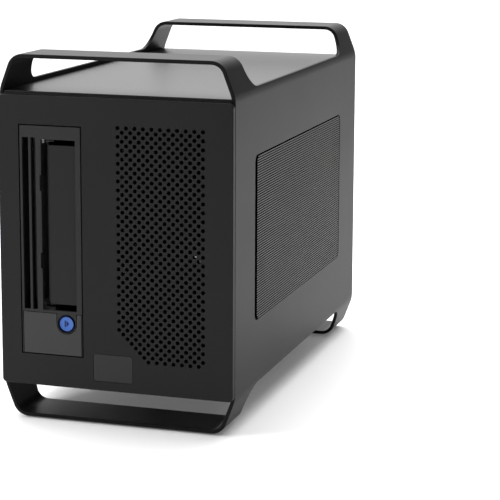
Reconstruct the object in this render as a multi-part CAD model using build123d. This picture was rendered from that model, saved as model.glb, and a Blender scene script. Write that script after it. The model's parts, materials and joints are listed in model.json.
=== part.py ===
from build123d import *
import math
import os

os.makedirs("parts", exist_ok=True)

# Millimetres. X runs to the right, Y to the rear and Z up. The origin is on the surface that the
# drive stands on, below the middle of its outer box.

# Outer sleeve: one closed sheet profile, cut away between its front and rear loops
sleeve_width = 157.2
sleeve_height = 236.0
sleeve_length = 300.0
sleeve_wall = 2.5
side_height = 191.2
leg_angle = 21.0
leg_bend = 20.0
bar_corner = 10.5
loop_depth = 34.0
loop_blend = 16.0
rim_above_box = 3.3
rim_below_box = 1.5

# Foot pads under the two lower bars
pad_height = 1.0
pad_length = 40.0
pad_width = 18.0
pad_corner = 4.0
pad_inset = 32.0

# Inner box of steel sheet
box_inset = 0.9
box_sheet = 1.2
box_slip = 0.25
box_bend = 2.4
rear_recess = 5.5
flange = 10.0
front_flange_low = 11.5
front_flange_right = 12.4
front_flange_left = 1.9
front_flange_top = 6.5
cover_flange = 12.0
cover_gap = 1.0

# Front panel
panel_inset = 0.2
panel_thickness = 4.0
panel_corner = 3.0
panel_edge = 0.8
panel_below_box = 0.6
panel_below_top = 2.0

# Vent field of the front panel: staggered columns with a sloped lower left corner. The real field
# has round 2.5 mm holes at a 5.6 mm pitch, and one square hole here stands for about six of them.
vent_side = 5.5
vent_pitch = 14.0
vent_rows = 11
vent_from_drive = 25.13
vent_from_edge = 19.0
vent_below_top = 20.9
vent_corners = 4

# Side grilles
grille_length = 212.6
grille_height = 107.7
grille_rise = 0.35
grille_corner = 4.5
grille_thickness = 1.95
grille_pitch = 3.9
grille_groove = 0.6
grille_slip = 0.15

# Half-height drive, standing on its side, and its opening in the panel
drive_wall_gap = 11.05
drive_thickness = 41.4
drive_floor_gap = 19.5
drive_height = 147.6
drive_depth = 208.0
opening_gap = 0.7

# Drive bezel
bezel_depth = 12.0
bezel_skin = 2.5
bezel_skirt = 1.0
bezel_edge = 0.4
boss_radius = 2.0
slot_left = 1.7
slot_width = 4.3
slot_second = 7.7
slot_second_width = 3.2
slot_height = 111.1
aperture_left = 14.6
aperture_width = 23.2
aperture_bottom = 28.9
aperture_height = 110.2
tongue_radius = 6.6
tongue_right = 4.1
button_height = 20.7
button_radius = 4.85
button_gap = 0.3
button_dish = 6.1
dish_depth = 1.4

# Control panel below the aperture
control_height = 27.0
control_thickness = 1.2
control_left = 1.0
control_right = 0.7
seam = 0.3

# Cartridge door and its pin
door_recess = 2.0
door_thickness = 1.6
door_gap_left = 4.2
door_gap_right = 0.3
door_gap_end = 3.8
ear_thickness = 2.0
ear_radius = 1.4
pin_radius = 0.8
running_gap = 0.05
pivot_behind = 4.4
pivot_right = 0.8
lug_height = 3.0
lug_gap = 0.3
spring_wire = 0.3
door_spring_length = 12.0
door_edge = 0.4
lug_width = 3.4

# Eject button
button_travel = 1.2
button_rim = 0.5
button_flange = 6.0
button_flange_thickness = 1.0
button_stem = 2.4
board_thickness = 1.5
front_board_back = 0.6
switch_size = 6.0
switch_height = 3.4
switch_base = 0.5
plunger_radius = 1.7

# Cartridge and the tray that carries it
cartridge_width = 105.4
cartridge_length = 102.0
cartridge_low = 1.1
tray_sheet = 1.0
tray_rail = 1.6
tray_rail_reach = 4.5
tray_rail_back = 1.6
tray_travel = 12.0
tray_front_gap = 1.0
tray_clear = 0.3
rail_thickness = 2.0
ledge_height = 3.0
stop_height = 60.0
stop_reach = 11.0
hub_clear = 2.0
window_size = (60.0, 18.0)
window_corner = 4.0
window_margin = 8.0

# Drive base and cover
base_wall = 3.0
base_plate = 2.0
board_space = 4.6
drive_cover_sheet = 1.2
board_inset = 1.0
board_post = 2.5
board_post_inset = (16.0, 6.0)
board_edge = (6.0, 1.0)
connector_z = (15.0, 61.0)
connector_length = 12.0
connector_proud = 1.5
chip_height = 0.9
chips = [(80.0, 105.0, 22.0), (140.0, 105.0, 18.0), (110.0, 45.0, 14.0)]
cover_slots = 5
cover_slot = (40.0, 3.0)
cover_slot_first = 30.0
cover_slot_pitch = 9.0
cover_slot_back = 40.0

# Reel drive, take-up reel and tape path, with places given from the base's front and the drive's foot
hub_radius = 12.0
clutch_radius = 20.0
clutch_thickness = 2.4
clutch_teeth = 8
tooth_depth = 0.8
tooth_gap = 1.6
spindle_short = 1.0
motor_size = 42.0
motor_thickness = 1.5
spindle_radius = 3.0
reel_radius = 42.0
reel_hub_radius = 22.0
reel_flange = 1.2
tape_width = 12.65
reel_gap = 0.4
takeup_spindle = 4.0
takeup_offset = (158.0, 67.0)
roller_radius = 6.0
roller_pin = 1.5
roller_offsets = [(127.0, 136.0), (141.0, 134.0), (179.0, 134.0), (194.0, 123.0)]
head_offset = (160.0, 119.0)
head_width = 22.0
head_block = 10.0
head_nose = 3.0
head_travel = 4.0
shaft_spacing = 12.0
shaft_radius = 1.5
arm_offset = (151.5, 113.2)
arm_length = 46.7
arm_rest_angle = 162.8
arm_width = 8.0
arm_thickness = 2.0
arm_post = 3.0
arm_notch = 3.0

# Drive cage
cage_sheet = 1.2
cage_front = 2.0
cage_length = 198.0
cage_foot = 8.0
cage_bend = 1.0
cage_lip_reach = 23.6
cage_lip = 8.0
cage_lip_margin = 15.0

# Sides that stand for the round form of small pins and their bores, and of screws
pin_sides = 12
screw_sides = 6

# Screws
screw_radius = 1.5
screw_slip = 0.05
screw_head = 2.8
screw_head_height = 1.8
screw_tip = 0.5
panel_screw_sides = (4.6, 6.0)
panel_screw_ends = (28.0, 30.0)
rear_screw_end = 22.0
cage_screw_y = (60.0, 150.0)

# Rear panel and what it carries
rear_sheet = 1.5
rear_slip = 0.3
fan_size = 80.0
fan_thickness = 25.0
fan_side_gap = 2.65
fan_top_gap = 2.5
fan_wall = 2.0
fan_hub = 17.0
fan_blades = 7
fan_tip_gap = 1.2
fan_shaft = 1.5
fan_strut = 4.0
fan_hole = 2.15
fan_hole_inset = 4.25
fan_slot = 3.6
fan_slot_pitch = 7.2
blade_rise = 0.8
blade_pitch = 36.0
blade_camber = 1.2
blade_thickness = 1.4
rear_vents = 8
rear_vent_height = 3.6
rear_vent_wall_gap = 2.65
rear_vent_fan_gap = 4.0
rear_vent_rise = 58.5
rear_vent_pitch = 12.0
inlet_from_wall = 26.65
inlet_rise = 30.5
inlet_width = 27.0
inlet_height = 20.0
inlet_rim = 2.5
inlet_rim_height = 2.0
inlet_wall = 1.5
inlet_depth = 22.0
inlet_pin = (2.0, 14.0, 4.0)
inlet_pin_spacing = 7.0
inlet_corner = 4.0
rocker_spacing = 28.0
rocker_width = 9.6
rocker_height = 16.4
rocker_body = (13.0, 21.0)
rocker_tilt = 10.0
rocker_depth = 14.0
rocker_pin = 1.0
rocker_gap = 0.3
rocker_end = 1.0
rocker_crown = 0.6
rocker_side = 2.6
port_size = (16.0, 9.0)
port_from_wall = 22.65
port_spacing = 22.0
port_depth = 18.0
port_wall = 0.8
port_proud = 1.0

# Boards and power supply in the box
post_radius = 3.0
post_inset = 5.0
controller_size = (60.0, 62.0)
controller_wall_gap = 4.65
controller_height = 12.5
supply_size = (40.0, 118.0, 74.0)
supply_wall_gap = 4.65
supply_rear_gap = 57.0
supply_slot = 2.5
supply_slot_inset = 8.0
supply_board_height = 4.0
supply_board_edge = 4.0
transformer_size = (24.0, 28.0, 34.0)
capacitor_size = (7.0, 30.0)
capacitor_gap = 1.0
supply_slots = 9
supply_ear = 8.0
sink_size = 26.0
sink_height = 9.0
sink_base = 2.0
sink_fins = 5
sink_fin = 1.6

# Levels and faces that follow from the sizes above
depth = panel_thickness + sleeve_length
front = -depth / 2
back = depth / 2
sleeve_front = front + panel_thickness
sleeve_middle = pad_height + sleeve_height / 2
box_height = side_height - 2 * box_inset
box_bottom = sleeve_middle - box_height / 2
box_top = box_bottom + box_height
wall_out = sleeve_width / 2 - sleeve_wall - box_slip
wall_in = wall_out - box_sheet
floor_top = box_bottom + box_sheet
rear_face = back - rear_recess
rear_inner = rear_face - rear_sheet
panel_width = sleeve_width - 2 * panel_inset
panel_height = box_height + panel_below_box - panel_below_top
panel_bottom = box_bottom - panel_below_box
drive_left = drive_wall_gap - wall_in
drive_bottom = floor_top + drive_floor_gap
drive_right = drive_left + drive_thickness
drive_top = drive_bottom + drive_height
base_front = front + bezel_depth
base_back = base_front + drive_depth
plate_left = drive_left + board_space
plate_top = plate_left + base_plate
cover_left = drive_right - drive_cover_sheet
skin_back = front + bezel_skin
aperture_x = (drive_left + aperture_left, drive_left + aperture_left + aperture_width)
aperture_z = (drive_bottom + aperture_bottom, drive_bottom + aperture_bottom + aperture_height)
pivot_x = aperture_x[1] + pivot_right
pivot_y = front + pivot_behind
button_x = drive_right - tongue_right - tongue_radius
button_z = drive_bottom + button_height
control_top = drive_bottom + control_height
board_face = base_front - front_board_back - board_thickness
tray_front = base_front + tray_front_gap
tray_back = tray_front + cartridge_length
tray_left = aperture_x[0] - tray_sheet - tray_clear
reel_low = plate_top + motor_thickness + reel_gap
hub_y = tray_front + cartridge_length / 2 + tray_travel
hub_z = aperture_z[0] + cartridge_low + cartridge_width / 2
reel_tape = (reel_low + reel_flange, reel_low + reel_flange + tape_width + 2 * reel_gap)
takeup_y, takeup_z = base_front + takeup_offset[0], drive_bottom + takeup_offset[1]
roller_places = [(base_front + y, drive_bottom + z) for y, z in roller_offsets]
head_middle, head_bottom = base_front + head_offset[0], drive_bottom + head_offset[1]
arm_pivot = (base_front + arm_offset[0], drive_bottom + arm_offset[1])
grille_middle = sleeve_middle + grille_rise
fan_x = wall_in - flange - fan_side_gap - fan_size / 2
fan_z = box_top - box_sheet - flange - fan_top_gap - fan_size / 2
fan_bore = fan_size / 2 - fan_wall
fan_hole_spacing = fan_size - 2 * fan_hole_inset
rear_vent_x = (flange + rear_vent_wall_gap - wall_in, fan_x - fan_size / 2 - rear_vent_fan_gap)
rear_vent_z = floor_top + rear_vent_rise
inlet_x = wall_in - inlet_from_wall
inlet_z = floor_top + inlet_rise
rocker_x = inlet_x - rocker_spacing
port_places = [port_from_wall - wall_in + i * port_spacing for i in range(2)]
controller_left = controller_wall_gap - wall_in
supply_left = wall_in - supply_wall_gap - supply_size[0]
supply_front = rear_inner - supply_rear_gap - supply_size[1]


def block(x, y, z):
    """A box between the two limits given on each axis."""
    sizes = [pair[1] - pair[0] for pair in (x, y, z)]
    middle = [sum(pair) / 2 for pair in (x, y, z)]
    return Pos(*middle) * Box(*sizes)


def rod(axis, radius, at, span):
    """A cylinder along an axis, placed by its two other coordinates."""
    length = span[1] - span[0]
    middle = sum(span) / 2
    if axis == "x":
        return Pos(middle, at[0], at[1]) * Rot(0, 90, 0) * Cylinder(radius, length)
    if axis == "y":
        return Pos(at[0], middle, at[1]) * Rot(90, 0, 0) * Cylinder(radius, length)
    return Pos(at[0], at[1], middle) * Cylinder(radius, length)


def facing_front(x, y, z):
    """A plane whose sketch stands upright and is seen from the front, x right and z up."""
    return Plane(origin=(x, y, z), x_dir=(1, 0, 0), z_dir=(0, -1, 0))


def facing_right(x, y, z):
    """A plane whose sketch stands upright and is seen from the right, y right and z up."""
    return Plane(origin=(x, y, z), x_dir=(0, 1, 0), z_dir=(1, 0, 0))


def upright(outline, y, x=0, z=0):
    """A sketch in x and z, extruded over a span of y."""
    return extrude(facing_front(x, y[0], z) * outline, amount=-(y[1] - y[0]))


def sideways(outline, x, y=0, z=0):
    """A sketch in y and z, extruded over a span of x."""
    return extrude(facing_right(x[0], y, z) * outline, amount=x[1] - x[0])


def side_plate(x, y, z, corner):
    """A plate square to x, with rounded corners."""
    outline = RectangleRounded(y[1] - y[0], z[1] - z[0], corner)
    return sideways(outline, x, sum(y) / 2, sum(z) / 2)


def front_plate(x, y, z, corner):
    """A plate square to y, with rounded corners."""
    outline = RectangleRounded(x[1] - x[0], z[1] - z[0], corner)
    return upright(outline, y, sum(x) / 2, sum(z) / 2)


def prism(axis, apothem, sides, at, span):
    """A regular prism along an axis, with the given distance from its middle to each side."""
    outline = RegularPolygon(apothem, sides, major_radius=False)
    if axis == "x":
        return sideways(outline, span, at[0], at[1])
    if axis == "y":
        return upright(outline, span, at[0], at[1])
    return Pos(at[0], at[1], span[0]) * extrude(outline, span[1] - span[0])


def pin(axis, radius, at, span):
    """A small pin in few faces, which stay within its radius."""
    return prism(axis, radius * math.cos(math.pi / pin_sides), pin_sides, at, span)


def bore(axis, radius, at, span):
    """The hole for a small pin in few faces, which stay outside its radius."""
    return prism(axis, radius, pin_sides, at, span)


def centred(middle, size):
    return (middle - size / 2, middle + size / 2)


def screw(axis, at, face, direction, length):
    """A screw whose head stands on a face and whose shank runs back from it, in few faces."""
    ends = sorted([face, face + direction * screw_head_height])
    shank = sorted([face, face - direction * length])
    return prism(axis, screw_head, screw_sides, at, ends) + prism(axis, screw_radius, screw_sides, at, shank)


def screw_hole(axis, at, span):
    """The clearance hole of one screw."""
    return prism(axis, screw_radius + screw_slip, screw_sides, at, span)


# Outer sleeve
def sleeve_outline():
    half_width, half_height, upright_half = sleeve_width / 2, sleeve_height / 2, side_height / 2
    quarter = [(half_width, upright_half), (bar_half_width(), half_height)]
    top = quarter + [(-x, z) for x, z in reversed(quarter)]
    face = make_face(Polyline(*(top + [(-x, -z) for x, z in top]), close=True))
    lean = math.radians(leg_angle)
    leg = (half_height - upright_half) / math.cos(lean)
    reach = leg_bend * math.tan(lean / 2) + bar_corner * math.tan(math.pi / 4 - lean / 2)
    share = min(1, leg / (reach + sleeve_wall / 2))
    bends = face.vertices().group_by(Axis.Y)[1:-1]
    face = fillet([v for level in bends for v in level], share * leg_bend)
    ends = face.vertices().group_by(Axis.Y)
    return fillet(ends[0] + ends[-1], share * bar_corner)


def grille_span():
    return centred((front + back) / 2, grille_length), centred(grille_middle, grille_height)


def make_outer_sleeve():
    outer = sleeve_outline()
    ring = outer - offset(outer, amount=-sleeve_wall)
    body = upright(ring, (sleeve_front, back), 0, sleeve_middle)
    across = (-sleeve_width, sleeve_width)
    between = (sleeve_front + loop_depth, back - loop_depth)
    above = (box_top + rim_above_box, sleeve_height + 3 * loop_blend)
    below = (-3 * loop_blend, box_bottom - rim_below_box)
    for z in (above, below):
        body -= side_plate(across, between, z, loop_blend)
    y, z = grille_span()
    return body - side_plate(across, y, z, grille_corner)


def make_side_grille(side):
    """A ribbed panel that fills the window of one side and lies on the box behind it."""
    y, z = grille_span()
    y = (y[0] + grille_slip, y[1] - grille_slip)
    z = (z[0] + grille_slip, z[1] - grille_slip)
    count = round((z[1] - z[0]) / grille_pitch)
    pitch = (z[1] - z[0]) / count
    crest = wall_out + grille_thickness
    outline = [(wall_out, z[0]), (crest, z[0])]
    for i in range(count):
        outline += [(crest - grille_groove, z[0] + (i + 0.5) * pitch), (crest, z[0] + (i + 1) * pitch)]
    outline.append((wall_out, z[1]))
    ribs = upright(make_face(Polyline(*outline, close=True)), y)
    ribs = ribs & side_plate((wall_out, crest), y, z, grille_corner)
    return ribs if side > 0 else mirror(ribs, Plane.YZ)


def make_foot_pads():
    pads = []
    reach = bar_half_width() - pad_inset
    for x in (-reach, reach):
        for y in (sleeve_front + loop_depth / 2, back - loop_depth / 2):
            outline = Rectangle(pad_length, pad_width)
            outline = chamfer(outline.vertices(), pad_corner)
            pads.append(Pos(x, y, 0) * extrude(outline, pad_height))
    return Compound(children=pads)


def bar_half_width():
    drop = sleeve_height / 2 - side_height / 2
    return sleeve_width / 2 - drop * math.tan(math.radians(leg_angle))


# Inner box
def front_flange_window():
    return (
        (drive_left - front_flange_left, wall_in - front_flange_right),
        (floor_top + front_flange_low, box_top - box_sheet - front_flange_top),
    )


def panel_screw_places():
    left, right = -wall_in + panel_screw_sides[0], wall_in - panel_screw_sides[1]
    low, high = floor_top + panel_screw_ends[0], box_top - panel_screw_ends[1]
    return [(x, z) for x in (left, right) for z in (low, high)]


def rear_screw_places():
    x = wall_in - flange / 2
    levels = (box_bottom + rear_screw_end, sleeve_middle, box_top - rear_screw_end)
    return [(side * x, z) for side in (-1, 1) for z in levels]


def make_chassis_tray():
    height = box_height - box_sheet
    outer = Rectangle(2 * wall_out, height)
    outer = fillet([v for v in outer.vertices() if v.Y < 0], box_bend)
    inner = Pos(0, box_sheet) * Rectangle(2 * wall_in, height)
    inner = fillet([v for v in inner.vertices() if v.Y < 0], box_bend - box_sheet)
    length = (sleeve_front, rear_face)
    body = upright(outer - inner, length, 0, box_bottom + height / 2)
    top = box_top - box_sheet
    inside = (centred(0, 2 * wall_in + box_sheet), (floor_top - box_sheet / 2, top))
    ring_y = (sleeve_front, sleeve_front + box_sheet)
    window = front_flange_window()
    body += block(inside[0], ring_y, inside[1]) - block(window[0], ring_y, window[1])
    ring_y = (rear_inner - box_sheet, rear_inner)
    hole = ((-wall_in + flange, wall_in - flange), (floor_top + flange, top - flange))
    body += block(inside[0], ring_y, inside[1]) - block(hole[0], ring_y, hole[1])
    for at in panel_screw_places():
        body -= screw_hole("y", at, (sleeve_front, sleeve_front + box_sheet))
    for at in rear_screw_places():
        body -= screw_hole("y", at, ring_y)
    return body


def make_chassis_cover():
    """The light top plate that shows between the rims, with side flanges inside the tray."""
    ends = (sleeve_front + cover_gap, rear_face)
    plate = block((-wall_out, wall_out), ends, (box_top - box_sheet, box_top))
    inside = (sleeve_front + 2 * flange, rear_inner - 2 * flange)
    level = (box_top - box_sheet - cover_flange, box_top - box_sheet)
    for side in (-1, 1):
        x = sorted([side * wall_in, side * (wall_in - box_sheet)])
        plate += block(x, inside, level)
    return plate


# Front panel
def vent_places():
    left, top = drive_right + vent_from_drive, panel_bottom + panel_height - vent_below_top
    columns = int((panel_width / 2 - vent_from_edge - left) / (vent_pitch / 2)) + 1
    places = []
    for column in range(columns):
        short = column == 0 or column % 2 == 1
        drop = vent_pitch / 2 * (column % 2)
        for row in range(vent_rows - short):
            places.append((left + column * vent_pitch / 2, top - drop - row * vent_pitch))
    return places


def vent_prism(x, z, y):
    """One vent hole: a square that stands on its corner."""
    return upright(RegularPolygon(vent_side / 2, vent_corners, major_radius=False, rotation=45), y, x, z)


def make_front_panel():
    middle = panel_bottom + panel_height / 2
    y = (front, front + panel_thickness)
    plate = upright(RectangleRounded(panel_width, panel_height, panel_corner), y, 0, middle)
    plate = chamfer(plate.faces().sort_by(Axis.Y)[0].edges(), panel_edge)
    plate -= front_plate(
        (drive_left - opening_gap, drive_right + opening_gap),
        y,
        (drive_bottom - opening_gap, drive_top + opening_gap),
        opening_gap,
    )
    for at in panel_screw_places():
        plate -= screw_hole("y", at, (y[1] - panel_thickness / 2, y[1]))
    return plate - [vent_prism(x, z, y) for x, z in vent_places()]


def make_front_panel_screws():
    face = sleeve_front + box_sheet
    length = box_sheet + panel_thickness / 2 - screw_tip
    return Compound(children=[screw("y", at, face, 1, length) for at in panel_screw_places()])


# Drive bezel and what it carries
def bezel_slots():
    low = aperture_z[0]
    first = drive_left + slot_left
    second = drive_left + slot_second
    return [
        ((first, first + slot_width), (low, low + slot_height)),
        ((second, second + slot_second_width), (low, low + slot_height)),
    ]


def tongue_outline(grow):
    """The rounded tab of bezel round the button, in x and z."""
    radius = tongue_radius + grow
    tab = Pos(button_x, button_z) * Circle(radius)
    height = control_top + seam - button_z
    return tab + Pos(button_x, button_z + height / 2) * Rectangle(2 * radius, height)


def door_lugs():
    """The two blocks behind the skin that hold the ends of the door's pin."""
    x = (pivot_x - lug_width / 2, drive_right - bezel_skirt / 2)
    y = (skin_back - bezel_skin / 2, pivot_y + lug_width / 2)
    top, low = aperture_z[1] + lug_gap, aperture_z[0] - lug_gap
    lugs = [block(x, y, (top, top + lug_height)), block(x, y, (low - lug_height, low))]
    return lugs, (low - lug_height, top + lug_height)


def make_drive_bezel():
    x, z = (drive_left, drive_right), (drive_bottom, drive_top)
    body = block(x, (front, base_front), z)
    body = fillet(body.faces().sort_by(Axis.Y)[0].edges(), bezel_edge)
    hollow = [(low + bezel_skirt, high - bezel_skirt) for low, high in (x, z)]
    body -= block(hollow[0], (skin_back, base_front), hollow[1])
    through = (front, skin_back)
    body -= block(aperture_x, through, aperture_z)
    for slot_x, slot_z in bezel_slots():
        body -= block(slot_x, through, slot_z)
    recess = (drive_left + control_left - seam, drive_right - control_right + seam)
    recess_y = (front, front + control_thickness)
    lowered = block(recess, recess_y, (drive_bottom - seam, control_top + seam))
    body -= lowered - upright(tongue_outline(0), recess_y)
    body -= rod("y", button_dish, (button_x, button_z), (front, front + dish_depth))
    body -= rod("y", button_radius + button_gap, (button_x, button_z), through)
    lugs, pin_span = door_lugs()
    for lug in lugs:
        body += lug
    body -= pin("z", pin_radius, (pivot_x, pivot_y), pin_span)
    for at in board_bosses():
        body += pin("y", boss_radius, at, (skin_back - bezel_skin / 3, board_face))
    return body


def board_bosses():
    left, right = front_board_span()[0]
    low, high = front_board_span()[1]
    return [(left + boss_radius, low + boss_radius), (left + boss_radius, high - boss_radius)]


def front_board_span():
    x = (drive_left + 2 * bezel_skirt, drive_right - 2 * bezel_skirt)
    return x, (drive_bottom + 2 * bezel_skirt, control_top - bezel_skirt)


def make_front_board():
    """The small board behind the control panel, with the button's switch on it."""
    x, z = front_board_span()
    board = block(x, (board_face, board_face + board_thickness), z)
    half = switch_size / 2
    switch = ((button_x - half, button_x + half), (button_z - half, button_z + half))
    body = (board_face - switch_height, board_face)
    board += block(switch[0], body, switch[1])
    well = (body[0], body[1] - switch_base)
    return board - bore("y", plunger_radius + running_gap, (button_x, button_z), well)


def make_control_panel():
    x = (drive_left + control_left, drive_right - control_right)
    y = (front, front + control_thickness)
    plate = block(x, y, (drive_bottom, control_top))
    return plate - upright(tongue_outline(seam), y)


def make_cartridge_door():
    x = (aperture_x[0] + door_gap_left, aperture_x[1] - door_gap_right)
    y = (front + door_recess, front + door_recess + door_thickness)
    z = (aperture_z[0] + door_gap_end, aperture_z[1] - door_gap_end)
    door = block(x, y, z)
    door = fillet(door.edges().filter_by(Axis.Z).group_by(Axis.X)[0].group_by(Axis.Y)[0], door_edge)
    for low in (z[0], z[1] - ear_thickness):
        ear = (low, low + ear_thickness)
        door += pin("z", ear_radius, (pivot_x, pivot_y), ear)
        door += block((x[1] - 2 * ear_radius, pivot_x), (y[1] - door_edge, pivot_y + ear_radius), ear)
    return door - bore("z", pin_radius + running_gap, (pivot_x, pivot_y), z)


def make_door_pin():
    return pin("z", pin_radius, (pivot_x, pivot_y), door_lugs()[1])


def make_door_spring():
    """A torsion spring round the pin, as the sleeve that its close turns fill."""
    low = aperture_z[0] + door_gap_end + ear_thickness + seam
    span = (low, low + door_spring_length)
    at = (pivot_x, pivot_y)
    inner = pin_radius + running_gap
    return bore("z", inner + spring_wire, at, span) - bore("z", inner, at, span)


def make_eject_button():
    """A dished cap with a rim, a flange that stops it and a stem that meets the switch."""
    rim, r = button_rim, button_radius
    flange_y = (skin_back + button_gap, skin_back + button_gap + button_flange_thickness)
    profile = Polyline(
        (0, front + rim),
        (r - 3 * rim, front + rim),
        (r - 2 * rim, front),
        (r, front),
        (r, flange_y[1]),
        (0, flange_y[1]),
        close=True,
    )
    at = (button_x, button_z)
    cap = Pos(at[0], 0, at[1]) * revolve(make_face(profile), Axis.Y)
    return cap + pin("y", button_flange, at, flange_y) + pin("y", button_stem, at, (flange_y[0], stem_face()))


def stem_face():
    return board_face - switch_height - button_travel - button_gap / 2


def make_switch_plunger():
    """The switch's own plunger, which stands against the stem and slides in the switch."""
    end = board_face - switch_base - button_travel - button_gap / 2
    return pin("y", plunger_radius, (button_x, button_z), (stem_face(), end))


# Loader tray
def cartridge_span():
    low = aperture_z[0] + cartridge_low
    return (low, low + cartridge_width)


def tray_span():
    low, high = cartridge_span()
    return (low - tray_clear, high + tray_clear)


def make_loader_tray():
    """A sheet cradle between two runners, open round the reel hub over the whole travel."""
    low, high = tray_span()
    sheet_x = (tray_left, tray_left + tray_sheet)
    y = (tray_front, tray_back)
    body = block(sheet_x, y, (low - tray_rail, high + tray_rail))
    rail_x = (tray_left - tray_rail_back, tray_left + tray_rail_reach)
    for rail in ((low - tray_rail, low), (high, high + tray_rail)):
        body += block(rail_x, y, rail)
    middle = (low + high) / 2
    stop = (middle - stop_height / 2, middle + stop_height / 2)
    body += block((tray_left, tray_left + stop_reach), (y[1] - tray_sheet, y[1]), stop)
    radius = hub_radius + hub_clear
    slot = SlotOverall(2 * radius + tray_travel, 2 * radius)
    body -= sideways(slot, sheet_x, hub_y - tray_travel / 2, hub_z)
    for side in (-1, 1):
        window = Rectangle(*window_size)
        window = chamfer(window.vertices(), window_corner)
        z = middle + side * (low - high + window_size[1] + 2 * window_margin) / 2
        body -= sideways(window, sheet_x, sum(y) / 2, z)
    return body


def tray_guides():
    """The two stepped guides on the base that the tray's runners slide between."""
    low, high = tray_span()
    y = (tray_front, tray_back + tray_travel)
    ledge_x = (plate_top - base_plate / 2, tray_left - tray_rail_back - tray_clear)
    guide_x = (ledge_x[0], tray_left + tray_rail_reach)
    guides = []
    for side, face in ((-1, low - tray_rail - tray_clear), (1, high + tray_rail + tray_clear)):
        guides.append(block(guide_x, y, sorted([face, face + side * rail_thickness])))
        ledge = sorted([face + side * rail_thickness, face - side * ledge_height])
        guides.append(block(ledge_x, y, ledge))
    return guides


# Drive base, cover and boards
def cage_screw_places():
    x = (drive_left + drive_right) / 2
    return [(x, base_front + y) for y in cage_screw_y]


def connector_span():
    z = tuple(drive_bottom + level for level in connector_z)
    return (board_left() + board_thickness, plate_left - seam), z


def board_left():
    return drive_left + board_inset


def make_drive_base():
    """The cast tray of the drive: a plate with walls on three sides, guides and standoffs."""
    y = (base_front, base_back)
    z = (drive_bottom, drive_top)
    body = block((drive_left, cover_left), y, z)
    inner_y = (base_front, base_back - base_wall)
    inner_z = (drive_bottom + base_wall, drive_top - base_wall)
    body -= block((plate_top, cover_left), inner_y, inner_z)
    body -= block((drive_left, plate_left), inner_y, inner_z)
    for guide in tray_guides():
        body += guide
    for at in board_post_places():
        span = (board_left() + board_thickness, plate_left + base_plate / 2)
        body += prism("x", board_post, screw_sides, at, span)
    x, notch = connector_span()
    body -= block((drive_left, plate_left), (inner_y[1], base_back), (notch[0] - seam, notch[1] + seam))
    for at in cage_screw_places():
        for wall in ((z[0], inner_z[0]), (inner_z[1], z[1])):
            body -= screw_hole("z", at, wall)
    return body


def board_post_places():
    inset_y, inset_z = board_post_inset
    y = (base_front + inset_y, base_back - inset_y)
    z = (drive_bottom + base_wall + inset_z, drive_top - base_wall - inset_z)
    return [(a, b) for a in y for b in z]


def make_drive_board():
    """The drive's main board under the plate, with its chips and rear connector."""
    left = board_left()
    edge_y, edge_z = board_edge
    y = (base_front + edge_y, base_back - base_wall - edge_z)
    z = (drive_bottom + base_wall + edge_z, drive_top - base_wall - edge_z)
    board = block((left, left + board_thickness), y, z)
    for from_front, from_foot, size in chips:
        chip_y, chip_z = centred(base_front + from_front, size), centred(drive_bottom + from_foot, size)
        board += block((left - chip_height, left), chip_y, chip_z)
    x, span = connector_span()
    board += block((left, left + board_thickness), (y[1] - edge_z, base_back), span)
    return board + block(x, (base_back - connector_length, base_back + connector_proud), span)


def make_drive_cover():
    body = block((cover_left, drive_right), (base_front, base_back), (drive_bottom, drive_top))
    for i in range(cover_slots):
        z = drive_bottom + cover_slot_first + i * cover_slot_pitch
        slot_y = centred(base_back - cover_slot_back, cover_slot[0])
        body -= block((cover_left, drive_right), slot_y, centred(z, cover_slot[1]))
    return body


def make_drive_cage():
    """A folded bracket: a tall plate with arms over and under the drive, feet and a front lip."""
    y = (base_front + cage_front, base_front + cage_front + cage_length)
    plate_x = (drive_right, drive_right + cage_sheet)
    arm_left = drive_left + base_wall
    bottom, top = drive_bottom - cage_sheet, drive_top + cage_sheet
    body = block(plate_x, y, (floor_top, top))
    body += block((arm_left, plate_x[1]), y, (drive_top, top))
    body += block((arm_left, plate_x[1]), y, (bottom, drive_bottom))
    body += block((arm_left, arm_left + cage_sheet), y, (floor_top, drive_bottom))
    feet = (floor_top, floor_top + cage_sheet)
    body += block((arm_left - cage_foot, arm_left + cage_sheet), y, feet)
    body += block((plate_x[0], plate_x[1] + cage_foot), y, feet)
    lip_z = (drive_bottom + cage_lip_margin, drive_top - cage_lip_margin)
    reach = plate_x[1] + cage_lip_reach
    lip = block((plate_x[0], reach), (y[0], y[0] + cage_sheet), lip_z)
    lip += block((reach - cage_sheet, reach), (y[0], y[0] + cage_lip), lip_z)
    lip = fillet(lip.edges().filter_by(Axis.Z).group_by(Axis.Y)[0].sort_by(Axis.X)[-1:], cage_bend)
    body += lip
    for at in cage_screw_places():
        body -= screw_hole("z", at, (bottom, drive_bottom))
        body -= screw_hole("z", at, (drive_top, top))
    return body


def make_cage_screws():
    length = cage_sheet + base_wall - screw_tip
    top, bottom = drive_top + cage_sheet, drive_bottom - cage_sheet
    screws = [screw("z", at, top, 1, length) for at in cage_screw_places()]
    screws += [screw("z", at, bottom, -1, length) for at in cage_screw_places()]
    return Compound(children=screws)


# Reels, rollers, head and threading arm
def motor_plate(at):
    """The square plate of a flat motor, which its spindle rises from."""
    x = (plate_top, plate_top + motor_thickness)
    return block(x, centred(at[0], motor_size), centred(at[1], motor_size))


def make_reel_motor():
    at = (hub_y, hub_z)
    plate = motor_plate(at)
    return plate + pin("x", spindle_radius, at, (plate_top, hub_top() - spindle_short))


def hub_top():
    return tray_left + tray_sheet / 2


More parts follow.
